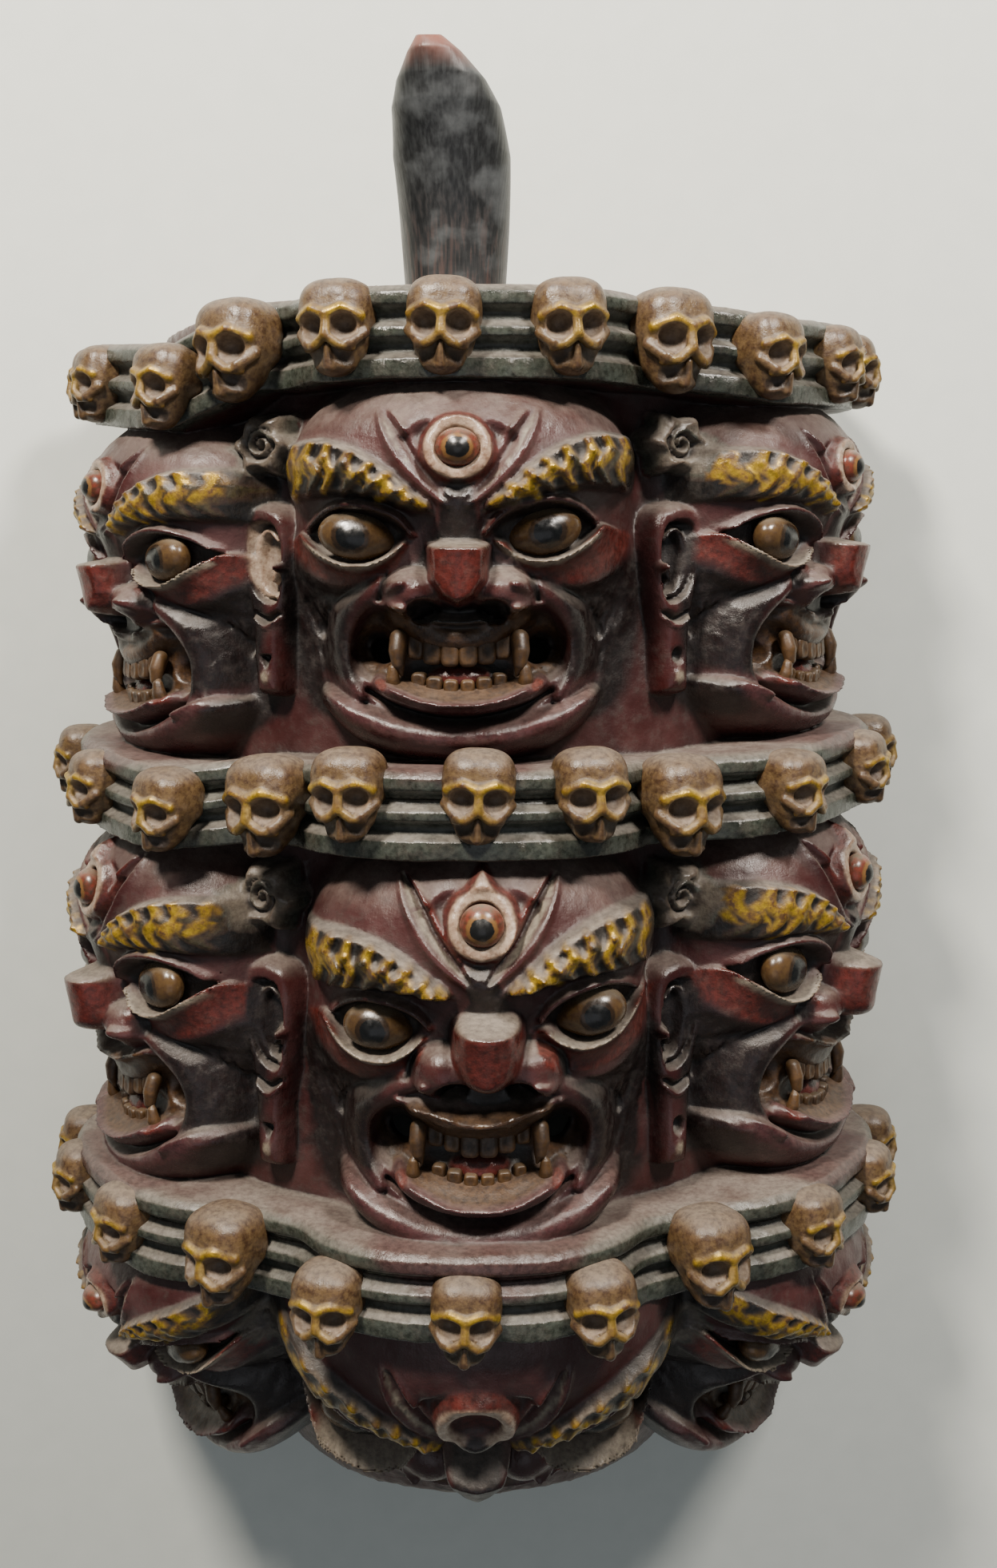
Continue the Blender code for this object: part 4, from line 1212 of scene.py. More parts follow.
@dataclass
class Tier:
    """One ring of three heads under a ribbed crown band."""

    edge: float
    band: float
    band_radius: float
    rise: Tuple[float, ...]
    middle: Dict[str, float]
    outer: Dict[str, float]
    middle_face: Dict[str, float]
    outer_face: Dict[str, float]
    skulls: Tuple[float, ...]
    skull_lift: float
    pointed_ring: bool = False
    round_nose: bool = True
    skull_sizes: Tuple[float, ...] = (0.90, 0.90, 0.95, 1.12, 1.0, 1.0, 1.0, 1.12, 0.95, 0.90, 0.90)
    skull_seats: Tuple[float, ...] = (0.006, 0.002, 0.003, 0.016, 0.004, 0.004, 0.004, 0.016, 0.003, 0.002,
                                      0.006)
    ear_stand: float = 0.006
    rise_azimuths: Tuple[float, ...] = (-84.0, -43.0, -31.0, 31.0, 43.0, 84.0)
    lobe_half_width: float = 0.094
    lobe_depth: float = 0.105
    groove_half: float = 0.0030
    groove_depth: float = 0.0052
    bevel: float = 0.0035
    ring_inset: float = 0.026
    lobe_seam: float = 0.006
    seat_seam: float = 0.0012
    work_margin: float = 0.045

    def rise_at(self, azimuth: np.ndarray) -> np.ndarray:
        """Height by which the band is raised at an azimuth."""
        return np.interp(azimuth, self.rise_azimuths, self.rise)

    def head_place(self, azimuth: float, size: Dict[str, float]) -> Place:
        """Axes of one head."""
        edge = self.edge + float(self.rise_at(np.array(azimuth)))
        return Place(azimuth, size["radius"], edge, size["tilt"], size["shift"], size["wide"], size["tall"],
                     size["low"])

    def heads(self) -> List[Head]:
        """The three heads of the ring."""
        place = self.head_place(0.0, self.middle)
        heads = [Head(place, self.pointed_ring, self.round_nose, **self.middle_face)]
        for number, side in enumerate((-1.0, 1.0)):
            place = self.head_place(side * SIDE_AZIMUTH, self.outer)
            heads.append(Head(place, self.pointed_ring, self.round_nose, seed=11 + number, **self.outer_face))
        return heads

    def ears(self, body: "Body", rosy_azimuth: float) -> List[Ear]:
        """The four ears of the ring."""
        ears = []
        for azimuth in (-FAR_AZIMUTH, -CORNER_AZIMUTH, CORNER_AZIMUTH, FAR_AZIMUTH):
            edge = self.edge + float(self.rise_at(np.array(azimuth)))
            radius = float(body.radius_at(np.array(edge)))
            place = Place(azimuth, radius + self.ear_stand, edge, self.outer["tilt"], 0.0, 1.0,
                          1.12 * self.outer["tall"], self.outer["low"])
            side = 1.0 if azimuth > 0.0 else -1.0
            ears.append(Ear(place, side, rosy=azimuth == rosy_azimuth, notched=azimuth < 0.0))
        return ears

    def skull_places(self) -> List[Tuple[Place, float]]:
        """Axes and size of every skull on the band."""
        centre = self.edge + 0.5 * self.band
        middle = len(self.skulls) // 2
        spots = []
        for number, azimuth in enumerate(self.skulls):
            height = centre + float(self.rise_at(np.array(azimuth)))
            if abs(number - middle) < 2:
                height += self.skull_lift
            place = Place(azimuth, self.band_radius - self.skull_seats[number], height)
            spots.append((place, self.skull_sizes[number]))
        return spots

    def lobe(self, azimuth: float, x: np.ndarray, z: np.ndarray) -> np.ndarray:
        """Plan distance from the rounded crown over one head."""
        right, _, out = Place(azimuth, 0.0, 0.0).axes
        cx, cz = out[0] * (self.band_radius - self.lobe_depth), out[2] * (self.band_radius - self.lobe_depth)
        du = right[0] * (x - cx) + right[2] * (z - cz)
        dw = out[0] * (x - cx) + out[2] * (z - cz)
        power = 2.6
        ratio = (np.abs(du) / self.lobe_half_width) ** power + (np.abs(dw) / self.lobe_depth) ** power
        return (ratio ** (1.0 / power) - 1.0) * 0.5 * (self.lobe_half_width + self.lobe_depth)

    def carve_band(self, block: Block) -> None:
        """Lay the band with its three ribs."""
        x, z = block.axes[0][:, None, None], block.axes[2][None, None, :]
        plan = np.hypot(x, z) - (self.band_radius - self.ring_inset)
        for azimuth in (0.0, -SIDE_AZIMUTH, SIDE_AZIMUTH):
            plan = soft_min(plan, self.lobe(azimuth, x, z), self.lobe_seam)
        rise = self.rise_at(np.degrees(np.arctan2(x, z)))
        first = int(np.searchsorted(block.axes[1], self.edge - self.work_margin))
        last = int(np.searchsorted(block.axes[1], self.edge + self.band + self.work_margin))
        if last <= first:
            return
        y = (block.axes[1][first:last][None, :, None] - self.edge - rise).astype(np.float32)
        across = np.zeros_like(y)
        for part in (1.0 / 3.0, 2.0 / 3.0):
            gap = np.abs(y - part * self.band) / self.groove_half
            across = np.maximum(across, np.clip(1.6 - gap, 0.0, 1.0))
        shelf = np.clip((y - self.band + self.bevel) / self.bevel, 0.0, 1.0) * self.bevel
        shape = np.maximum(plan + across * self.groove_depth + shelf, np.maximum(-y, y - self.band))
        rows = (slice(None), slice(first, last), slice(None))
        block.value[rows] = soft_min(block.value[rows], shape.astype(np.float32), self.seat_seam)

    def band_share(self, points: np.ndarray) -> np.ndarray:
        """Share of band paint at surface points."""
        azimuth = np.degrees(np.arctan2(points[:, 0], points[:, 2]))
        y = points[:, 1] - self.edge - self.rise_at(azimuth)
        within = np.clip(np.minimum(y + 0.0012, self.band + 0.0004 - y) / 0.0012, 0.0, 1.0)
        plan = np.hypot(points[:, 0], points[:, 2]) - (self.band_radius - self.ring_inset)
        for turn in (0.0, -SIDE_AZIMUTH, SIDE_AZIMUTH):
            plan = np.minimum(plan, self.lobe(turn, points[:, 0], points[:, 2]))
        return within * np.clip((plan + self.groove_depth + 0.0035) / 0.002, 0.0, 1.0)


@dataclass
class Body:
    """Half-round hollow body that carries the heads."""

    wall: float = 0.018
    top_y: float = 0.228
    bottom_y: float = -0.402
    radius_top: float = 0.174
    radius_low: float = 0.186
    radius_chin: float = 0.118
    bend_y: float = -0.262
    neck_radius: float = 0.082
    neck_top_y: float = -0.360
    neck_seam: float = 0.012

    def radius_at(self, y: np.ndarray) -> np.ndarray:
        """Outer radius at a height."""
        upper = np.interp(y, [self.bend_y, self.top_y], [self.radius_low, self.radius_top])
        lower = np.interp(y, [self.bottom_y, self.bend_y], [self.radius_chin, self.radius_low])
        return np.where(y > self.bend_y, upper, lower)

    def fill(self, block: Block) -> None:
        """Fill the plain half-round body."""
        x, y, z = block.axes[0][:, None, None], block.axes[1][None, :, None], block.axes[2][None, None, :]
        side = np.hypot(x, z) - self.radius_at(y)
        block.value[:] = np.maximum(side, np.maximum(self.bottom_y - y, y - self.top_y))

    def hollow(self, plain: Block) -> np.ndarray:
        """Distance field of the open inside, one wall in from the plain masses."""
        x, y, z = plain.axes[0][:, None, None], plain.axes[1][None, :, None], plain.axes[2][None, None, :]
        space = plain.value + self.wall
        neck = np.maximum(np.hypot(x, z) - self.neck_radius, y - self.neck_top_y)
        space = soft_min(space, neck, self.neck_seam)
        return np.maximum(space, y - (self.top_y - self.wall)).astype(np.float32)


@dataclass
class Shell:
    """The carved wooden shell: body, heads, ears and bands, built in three parts that meet in band grooves."""

    body: Body
    tiers: List[Tier]
    step: float = 0.0012
    quick_step: float = 0.002
    coarse_step: float = 0.003
    over_edge: float = 0.055
    under_edge: float = 0.001
    triangles: int = 190000
    unevenness: float = 0.0005
    rosy_azimuth: float = -31.5
    low: Spot = (-0.279, -0.450, -0.009)
    high: Spot = (0.279, 0.252, 0.291)

    def prepare(self) -> None:
        """Lay the plain masses, the open inside and the uneven depth that all parts share."""
        self.plain = Block(self.low, self.high, self.coarse_step)
        self.body.fill(self.plain)
        for tier in self.tiers:
            for head in tier.heads():
                head.rough_out(self.plain)
        self.space = self.body.hollow(self.plain)
        rng = np.random.default_rng(11)
        self.marks = []
        for pitch, depth in ((0.016, 1.0), (0.007, 0.6)):
            axes = [np.arange(self.low[i], self.high[i] + 2.0 * pitch, pitch) for i in range(3)]
            rough = rng.uniform(-1.0, 1.0, [len(axis) for axis in axes]).astype(np.float32)
            self.marks.append((axes, rough * (depth * self.unevenness)))

    def joint(self, tier: Tier, block: Block) -> np.ndarray:
        """Height of the upper groove of a band over the plan of a block."""
        x, z = block.axes[0][:, None, None], block.axes[2][None, None, :]
        rise = tier.rise_at(np.degrees(np.arctan2(x, z)))
        return (tier.edge + tier.band * 2.0 / 3.0 + rise).astype(np.float32)

    def block_of(self, number: int) -> Block:
        """Empty block that holds the part round one tier."""
        step = self.step
        low, high = list(self.low), list(self.high)
        if number > 0:
            top = self.tiers[number].edge + self.over_edge
            high[1] = low[1] + step * round((top - low[1]) / step)
        if number < len(self.tiers) - 1:
            bottom = self.tiers[number + 1].edge + self.under_edge
            low[1] = low[1] + step * round((bottom - low[1]) / step)
        return Block(tuple(low), tuple(high), step)

    def carve(self, number: int) -> Tuple[bpy.types.Mesh, Block]:
        """Carve the part of the shell round one tier.

        Args:
            number: place of the tier, from the top.

        Returns:
            The mesh in the carver's axes, and its block.
        """
        block = self.block_of(number)
        block.value = enlarge(self.plain.value, self.plain.axes, block.axes)
        heads = [head for tier in self.tiers for head in tier.heads()]
        for head in heads:
            head.carve(block)
        for tier in self.tiers:
            tier.carve_band(block)
            for ear in tier.ears(self.body, self.rosy_azimuth if tier is self.tiers[0] else 0.0):
                ear.carve(block)
        for axes, rough in self.marks:
            block.value += enlarge(rough, axes, block.axes)
        block.value = np.maximum(block.value, -enlarge(self.space, self.plain.axes, block.axes))
        for head in heads:
            head.cut_holes(block)
        block.value = np.maximum(block.value, -block.axes[2][None, None, :])
        y = block.axes[1][None, :, None]
        if number > 0:
            block.value = np.maximum(block.value, y - self.joint(self.tiers[number], block))
        if number < len(self.tiers) - 1:
            block.value = np.maximum(block.value, self.joint(self.tiers[number + 1], block) - y)
        return reduce(block.surface("shell"), self.triangles), block

    def build(self, material: bpy.types.Material) -> None:
        """Carve, paint and place the three parts."""
        self.prepare()
        for number, name in enumerate(("mask_upper", "mask_middle", "mask_lower")):
            mesh, block = self.carve(number)
            dress(mesh, block)
            points = points_of(mesh)
            layer = mesh.attributes[PAINT_LAYERS[1]].data
            share = np.empty(len(points) * 4, dtype=np.float32)
            layer.foreach_get("color", share)
            share = share.reshape(-1, 4)
            for tier in self.tiers:
                share[:, 0] = np.maximum(share[:, 0], tier.band_share(points))
            layer.foreach_set("color", share.ravel())
            to_frame(mesh)
            piece(name, mesh, material, "mask")


def carved_shape(name: str, reach: Spot, step: float, strokes: Sequence[tuple], triangles: int,
                 rounds: int = 6) -> bpy.types.Mesh:
    """Carve one small shape about the origin.

    Args:
        name: mesh name.
        reach: half size of its block in millimetres.
        step: grid step in millimetres.
        strokes: shape, blend, cut, zone and spread of each stroke, in order.
        triangles: the wished number of triangles.
        rounds: smoothing rounds of the relief.

    Returns:
        The mesh, dressed with paint shares and relief.
    """
    half = [value * MM for value in reach]
    block = Block((-half[0], -half[1], -half[2]), (half[0], half[1], half[2]), step * MM)
    for shape, blend, cut, zone, spread in strokes:
        block.work(Place(0.0, 0.0, 0.0), shape, blend, cut, zone, spread)
    mesh = reduce(block.surface(name), triangles)
    dress(mesh, block, rounds)
    return mesh


def setting_tree(name: str) -> Tuple[bpy.types.NodeTree, Dict[str, str]]:
    """Node tree that sets a shape on every point of a mesh.

    Args:
        name: tree name.

    Returns:
        The tree and the identifier of each of its inputs.
    """
    tree = bpy.data.node_groups.new(name, "GeometryNodeTree")
    face = tree.interface
    face.new_socket(name="Geometry", in_out="OUTPUT", socket_type="NodeSocketGeometry")
    sockets = {}
    for label, kind in (("Points", "NodeSocketGeometry"), ("Shape", "NodeSocketObject"),
                        ("Size", "NodeSocketFloat"), ("Unevenness", "NodeSocketFloat"),
                        ("Seed", "NodeSocketInt"), ("Finish", "NodeSocketMaterial")):
        sockets[label] = face.new_socket(name=label, in_out="INPUT", socket_type=kind).identifier
    start = add(tree, "NodeGroupInput")
    shape = add(tree, "GeometryNodeObjectInfo", {"Object": start.outputs["Shape"]})
    turn = add(tree, "GeometryNodeInputNamedAttribute", {"Name": "turn"}, data_type="FLOAT_VECTOR")
    rotation = add(tree, "FunctionNodeEulerToRotation", {0: turn.outputs["Attribute"]})
    size = add(tree, "GeometryNodeInputNamedAttribute", {"Name": "size"}, data_type="FLOAT_VECTOR")
    least = add(tree, "ShaderNodeMath", {0: 1.0, 1: start.outputs["Unevenness"]}, operation="SUBTRACT")
    most = add(tree, "ShaderNodeMath", {0: 1.0, 1: start.outputs["Unevenness"]}, operation="ADD")
    vary = add(tree, "FunctionNodeRandomValue",
               {2: least.outputs[0], 3: most.outputs[0], "Seed": start.outputs["Seed"]}, data_type="FLOAT")
    whole = add(tree, "ShaderNodeMath", {0: vary.outputs[1], 1: start.outputs["Size"]}, operation="MULTIPLY")
    scale = add(tree, "ShaderNodeVectorMath", {0: size.outputs["Attribute"], "Scale": whole.outputs[0]},
                operation="SCALE")
    copies = add(tree, "GeometryNodeInstanceOnPoints",
                 {"Points": start.outputs["Points"], "Instance": shape.outputs["Geometry"],
                  "Rotation": rotation.outputs[0], "Scale": scale.outputs[0]})
    tint = add(tree, "FunctionNodeRandomValue", {2: 0.0, 3: 1.0, "Seed": start.outputs["Seed"]},
               data_type="FLOAT")
    marked = add(tree, "GeometryNodeStoreNamedAttribute",
                 {"Geometry": copies.outputs[0], "Name": "tint", "Value": tint.outputs[1]},
                 data_type="FLOAT", domain="INSTANCE")
    real = add(tree, "GeometryNodeRealizeInstances", {"Geometry": marked.outputs[0]})
    dressed = add(tree, "GeometryNodeSetMaterial",
                  {"Geometry": real.outputs[0], "Material": start.outputs["Finish"]})
    add(tree, "NodeGroupOutput", {"Geometry": dressed.outputs[0]})
    return tree, sockets


@dataclass
class Repeated:
    """Many copies of one carved shape, set out by the node tree."""

    name: str
    shape: bpy.types.Mesh
    unevenness: float = 0.04
    seed: int = 3
    places: List[np.ndarray] = field(default_factory=list)
    turns: List[Tuple[float, float, float]] = field(default_factory=list)
    sizes: List[Spot] = field(default_factory=list)

    def put(self, place: Place, spot: Spot, size: Spot = (1.0, 1.0, 1.0), spin: float = 0.0, nod: float = 0.0,
            yaw: float = 0.0) -> None:
        """Set one copy on a head.

        Args:
            place: axes of the head.
            spot: where it goes, in millimetres.
            size: its scales across, up and out.
            spin: turn in the plane of the face, in degrees.
            nod: turn about the axis across.
            yaw: turn about the upright axis.
        """
        axes = Matrix([list(axis) for axis in place.axes]).transposed()
        turned = axes @ Matrix.Rotation(math.radians(yaw), 3, "Y") @ Matrix.Rotation(math.radians(nod), 3, "X")
        turned = turned @ Matrix.Rotation(math.radians(spin), 3, "Z")
        point = place.point(spot) - np.array([OUTLINE_MIDDLE[0], OUTLINE_MIDDLE[1], 0.0])
        self.places.append(point)
        self.turns.append(tuple(turned.to_euler("XYZ")))
        self.sizes.append(size)

    def build(self, material: bpy.types.Material, slot: str, stands_for: Optional[str] = "mask") -> None:
        """Set out the copies and keep them as one plain mesh."""
        cloud = bpy.data.meshes.new(self.name + "_points")
        cloud.from_pydata([list(point) for point in self.places], [], [])
        for label, values in (("turn", self.turns), ("size", self.sizes)):
            layer = cloud.attributes.new(label, "FLOAT_VECTOR", "POINT")
            layer.data.foreach_set("vector", np.array(values, dtype=np.float32).ravel())
        holder = bpy.data.objects.new(self.name + "_points", cloud)
        pattern = bpy.data.objects.new(self.name + "_shape", self.shape)
        for item in (holder, pattern):
            bpy.context.scene.collection.objects.link(item)
        tree, sockets = setting_tree(self.name + "_setting")
        modifier = holder.modifiers.new("setting", "NODES")
        modifier.node_group = tree
        for label, value in (("Shape", pattern), ("Size", 1.0), ("Unevenness", self.unevenness),
                             ("Seed", self.seed), ("Finish", material)):
            modifier[sockets[label]] = value
        mesh = plain_mesh(holder)
        for item in (holder, pattern):
            bpy.data.objects.remove(item, do_unlink=True)
        face_outward(mesh)
        mesh.shade_smooth()
        piece(self.name, mesh, material, stands_for)


def skull_shape() -> bpy.types.Mesh:
    """Small blocky skull with scooped sockets and cheeks that part over a wedge of a jaw."""
    strokes = [(Egg((0, 6.4, -0.5), (16.8, 15.2, 16.2), 0, 2.9), 1, False, Zone.BONE, 40),
               (Egg((0, -7, 1.5), (13.6, 11.5, 12.6)), 3, False, None, 0),
               (Egg((0, -15.5, 5), (9.6, 6, 9)), 2.5, False, None, 0)]
    for side in (-1, 1):
        brow = mirror([(0, 4.2, 16.4), (7, 6.8, 15.8), (14.4, 3.6, 10.2)], side)
        strokes.append((Bar(brow, (2, 2, 1.8)), 2, False, Zone.GOLD, 0.6))
        cheek = mirror([(14.6, -3, 7), (9.5, -8, 12.8)], side)
        strokes.append((Bar(cheek, (2.6, 2.8)), 1.6, False, Zone.GOLD, -0.6))
    for side in (-1, 1):
        socket = Egg((8 * side, -0.8, 17.5), (6.9, 5.9, 9.5), 14 * side)
        strokes.append((socket, 0.6, True, Zone.ROSE, 0.2))
    strokes.append((Bar(((0, 4, 16), (0, -4.5, 17.4)), (1.8, 2.3)), 1, False, Zone.GOLD, 0.2))
    for side in (-1, 1):
        split = mirror([(0.8, -5.4, 16.8), (5.6, -9.2, 15.6), (10.4, -10, 11.4)], side)
        strokes.append((Bar(split, (2, 2.2, 1.6)), 1, False, Zone.GOLD, 0))
    # the hollows under the cheekbones are cut and painted near black: soot and painted shade
    for side in (-1, 1):
        hollow = mirror([(3.6, -13.4, 16.4), (10, -15.4, 10.6)], side)
        strokes.append((Bar(hollow, (2.6, 3.6)), 0.8, True, Zone.SOOT_AND_SHADE, 0.2))
    strokes.append((Bar(((0, -9.5, 15), (0, -17.5, 12.6)), (1.4, 3)), 0.8, False, Zone.ROSE, -0.6))
    return carved_shape("skull", (20, 25, 20), 0.55, strokes, 4600, 14)


def tooth_shape() -> bpy.types.Mesh:
    """Squarish front tooth, its biting edge at the bottom."""
    strokes = [(Egg((0, 0, 0), (4.2, 6.6, 3.6), 0, 3.6), 0.5, False, None, 0),
               (Egg((0, -1.5, 4.3), (2.2, 4, 1.4)), 1.2, True, None, 0)]
    return carved_shape("tooth", (5.6, 8.4, 5.2), 0.42, strokes, 420)


def fang_shape() -> bpy.types.Mesh:
    """Curved pointed tooth, its tip at the bottom."""
    line = ((0, 7, -1), (0.6, 1, 1), (0.2, -5, 1.2), (-1.2, -10, 0))
    return carved_shape("fang", (7, 15, 6.5), 0.45, [(Bar(line, (4.2, 4, 3, 0.9)), 0.5, False, None, 0)], 420)


def ball_shape(name: str, strokes: Sequence[tuple], reach: Spot, spot: Flat, pupil: float) -> bpy.types.Mesh:
    """Eyeball with the distance from its pupil kept for the iris.

    Args:
        name: mesh name.
        strokes: its shapes, as for a carved shape.
        reach: half size of its block in millimetres.
        spot: middle of the pupil.
        pupil: radius of the pupil in millimetres.

    Returns:
        The mesh.
    """
    mesh = carved_shape(name, reach, 0.6, strokes, 2400)
    points = points_of(mesh)
    far = np.hypot(points[:, 0] - spot[0] * MM, points[:, 1] - spot[1] * MM) / (pupil * MM)
    store(mesh, "ring", np.where(points[:, 2] > 0.0, far, 9.0))
    return mesh


def add(tree: bpy.types.NodeTree, kind: str, inputs: Optional[Dict[object, object]] = None,
        **settings: object) -> bpy.types.Node:
    """Add a node, set it up and link its inputs.

    Args:
        tree: the node tree.
        kind: node type.
        inputs: value or source socket of each input, by name or number.
        settings: properties of the node.

    Returns:
        The node.
    """
    node = tree.nodes.new(kind)
    for key, value in settings.items():
        setattr(node, key, value)
    for key, value in (inputs or {}).items():
        if isinstance(value, bpy.types.NodeSocket):
            tree.links.new(value, node.inputs[key])
        else:
            node.inputs[key].default_value = value
    return node


def blend(tree: bpy.types.NodeTree, share: object, under: object, over: object,
          mode: str = "MIX") -> bpy.types.NodeSocket:
    """Lay one colour over another and give the result's socket."""
    mix = add(tree, "ShaderNodeMix", {0: share, 6: under, 7: over}, data_type="RGBA", blend_type=mode)
    return mix.outputs[2]


def ramp(tree: bpy.types.NodeTree, value: object, low: float, high: float, start: float = 0.0,
         end: float = 1.0) -> bpy.types.NodeSocket:
    """Bring a value from one range to another, held at its ends."""
    node = add(tree, "ShaderNodeMapRange", {0: value, 1: low, 2: high, 3: start, 4: end}, clamp=True)
    return node.outputs[0]


def new_finish(
    name: str,
) -> Tuple[bpy.types.Material, bpy.types.NodeTree, bpy.types.Node, bpy.types.NodeSocket]:
    """Start a node material.

    Args:
        name: its name.

    Returns:
        The material, its tree, its shader and the piece's own coordinates.
    """
    item = bpy.data.materials.new(name)
    item.use_nodes = True
    tree = item.node_tree
    return item, tree, tree.nodes["Principled BSDF"], add(tree, "ShaderNodeTexCoord").outputs["Object"]


def facing_up(tree: bpy.types.NodeTree) -> bpy.types.NodeSocket:
    """How far the surface faces up the mask, from minus one to one."""
    normal = add(tree, "ShaderNodeNewGeometry").outputs["Normal"]
    return add(tree, "ShaderNodeSeparateXYZ", {0: normal}).outputs[1]


@dataclass(frozen=True)
class OldPaint:
    """Distemper and varnish on carved wood, worn shiny on the high parts and dusty on top.

    Brushed on by hand over a pale ground, then handled for generations: high parts turn
    glossy and dark red, hollows are darkened for soot and for painted shade, and ledges that face
    up the mask hold grey dust.
    """

    name: str
    ground: Tuple[str, str]
    dust: float
    dirt_and_shade: float
    rough: Tuple[float, float]

    def zone_colours(self) -> Dict[Zone, Tuple[str, str]]:
        """Two shades of each paint."""
        # the near-black soot and black shades also stand for painted shade in hollows, creases and holes
        return {Zone.GOLD: ("b3932a", "7c651c"), Zone.ROSE: ("a08d7a", "76604f"),
                Zone.BLACK_AND_SHADE: ("100e0c", "1d1814"), Zone.BAND: ("3f443d", "22261f"),
                Zone.BONE: ("5d4a30", "3a281a"), Zone.RED: ("52201a", "35140f"),
                Zone.SOOT_AND_SHADE: ("1a100f", "100a09"), Zone.DUST: ("7f7768", "625b50"),
                Zone.GUM: ("46301b", "291a10"), Zone.LIP: ("472b2c", "321d1e"),
                Zone.OLIVE: ("3a3420", "221e14")}

    def material(self) -> bpy.types.Material:
        """Build the node material."""
        item, tree, shader, place = new_finish(self.name)
        # brushed patches about 25 mm across, wear about 8 mm across and flecks about 3 mm across
        patch = add(tree, "ShaderNodeTexNoise", {"Vector": place, "Scale": 40.0, "Detail": 4.0}).outputs[0]
        wear = add(tree, "ShaderNodeTexNoise", {"Vector": place, "Scale": 125.0, "Detail": 6.0,
                                                "Roughness": 0.7}).outputs[0]
        fleck = add(tree, "ShaderNodeTexNoise", {"Vector": place, "Scale": 330.0, "Detail": 5.0,
                                                 "Roughness": 0.65}).outputs[0]
        layers = [add(tree, "ShaderNodeAttribute", attribute_name=name) for name in PAINT_LAYERS]
        split = [add(tree, "ShaderNodeSeparateColor", {0: layer.outputs["Color"]}) for layer in layers]
        relief = add(tree, "ShaderNodeAttribute", attribute_name="relief").outputs["Fac"]
        shares = {Zone.GOLD: split[0].outputs[1], Zone.ROSE: split[0].outputs[2],
                  Zone.BLACK_AND_SHADE: layers[0].outputs["Alpha"], Zone.BAND: split[1].outputs[0],
                  Zone.BONE: split[1].outputs[1], Zone.RED: split[1].outputs[2],
                  Zone.SOOT_AND_SHADE: layers[1].outputs["Alpha"], Zone.DUST: split[2].outputs[0],
                  Zone.GUM: split[2].outputs[1], Zone.LIP: split[2].outputs[2],
                  Zone.OLIVE: layers[2].outputs["Alpha"]}
        colour = blend(tree, ramp(tree, patch, 0.38, 0.64), linear(self.ground[0]), linear(self.ground[1]))
        colour = blend(tree, ramp(tree, wear, 0.52, 0.72, 0.0, 0.55), colour, linear("26120f"))
        flecked = ramp(tree, fleck, 0.4, 0.66)
        for zone, share in shares.items():
            shades = self.zone_colours()[zone]
            colour = blend(tree, share, colour, blend(tree, flecked, linear(shades[0]), linear(shades[1])))
        # gilding survives in patches about 8 mm across
        gilt = add(tree, "ShaderNodeMath", {0: split[0].outputs[1], 1: ramp(tree, wear, 0.60, 0.44)},
                   operation="MULTIPLY").outputs[0]
        colour = blend(tree, add(tree, "ShaderNodeMath", {0: split[0].outputs[1], 1: gilt},
                                 operation="SUBTRACT", use_clamp=True).outputs[0], colour, linear("4a3010"))
        worn = ramp(tree, relief, 0.25, 1.6)
        hollow = ramp(tree, relief, -0.25, -1.8)
        rubbed = add(tree, "ShaderNodeMath", {0: worn, 1: ramp(tree, wear, 0.35, 0.6, 0.0, 0.5)},
                     operation="MULTIPLY").outputs[0]
        colour = blend(tree, rubbed, colour, linear("8a5648"), "SOFT_LIGHT")
        # hollows are darkened towards near black: partly soot, partly painted shade
        soot_and_shade_share = add(tree, "ShaderNodeMath", {0: hollow, 1: self.dirt_and_shade}, operation="MULTIPLY").outputs[0]
        colour = blend(tree, soot_and_shade_share, colour, linear("0e0a08"))
        up = facing_up(tree)
        ledge = ramp(tree, up, 0.30, 0.95)
        uneven = ramp(tree, patch, 0.3, 0.62, 0.45, 1.0)
        dusty = add(tree, "ShaderNodeMath", {0: ledge, 1: uneven}, operation="MULTIPLY").outputs[0]
        dusty = add(tree, "ShaderNodeMath", {0: dusty, 1: self.dust}, operation="MULTIPLY").outputs[0]
        for zone in (Zone.RED, Zone.GUM, Zone.LIP):
            kept = ramp(tree, shares[zone], 0.0, 1.0, 1.0, 0.2)
            dusty = add(tree, "ShaderNodeMath", {0: dusty, 1: kept}, operation="MULTIPLY").outputs[0]
        film = ramp(tree, wear, 0.50, 0.80, 0.0, 0.14)
        dusty = add(tree, "ShaderNodeMath", {0: dusty, 1: film}, operation="MAXIMUM").outputs[0]
        colour = blend(tree, dusty, colour, blend(tree, flecked, linear("7b736a"), linear("5f5852")))
        tree.links.new(colour, shader.inputs["Base Color"])
        gloss = ramp(tree, relief, -0.4, 1.2, self.rough[1], self.rough[0])
        for layer in (ramp(tree, dusty, 0.0, 0.6, 0.0, 0.32), ramp(tree, wear, 0.35, 0.7, -0.08, 0.14)):
            gloss = add(tree, "ShaderNodeMath", {0: gloss, 1: layer}, operation="ADD").outputs[0]
        tree.links.new(gloss, shader.inputs["Roughness"])
        tree.links.new(ramp(tree, gilt, 0.3, 1.0, 0.0, 0.6), shader.inputs["Metallic"])
        shader.inputs["Specular IOR Level"].default_value = 0.5
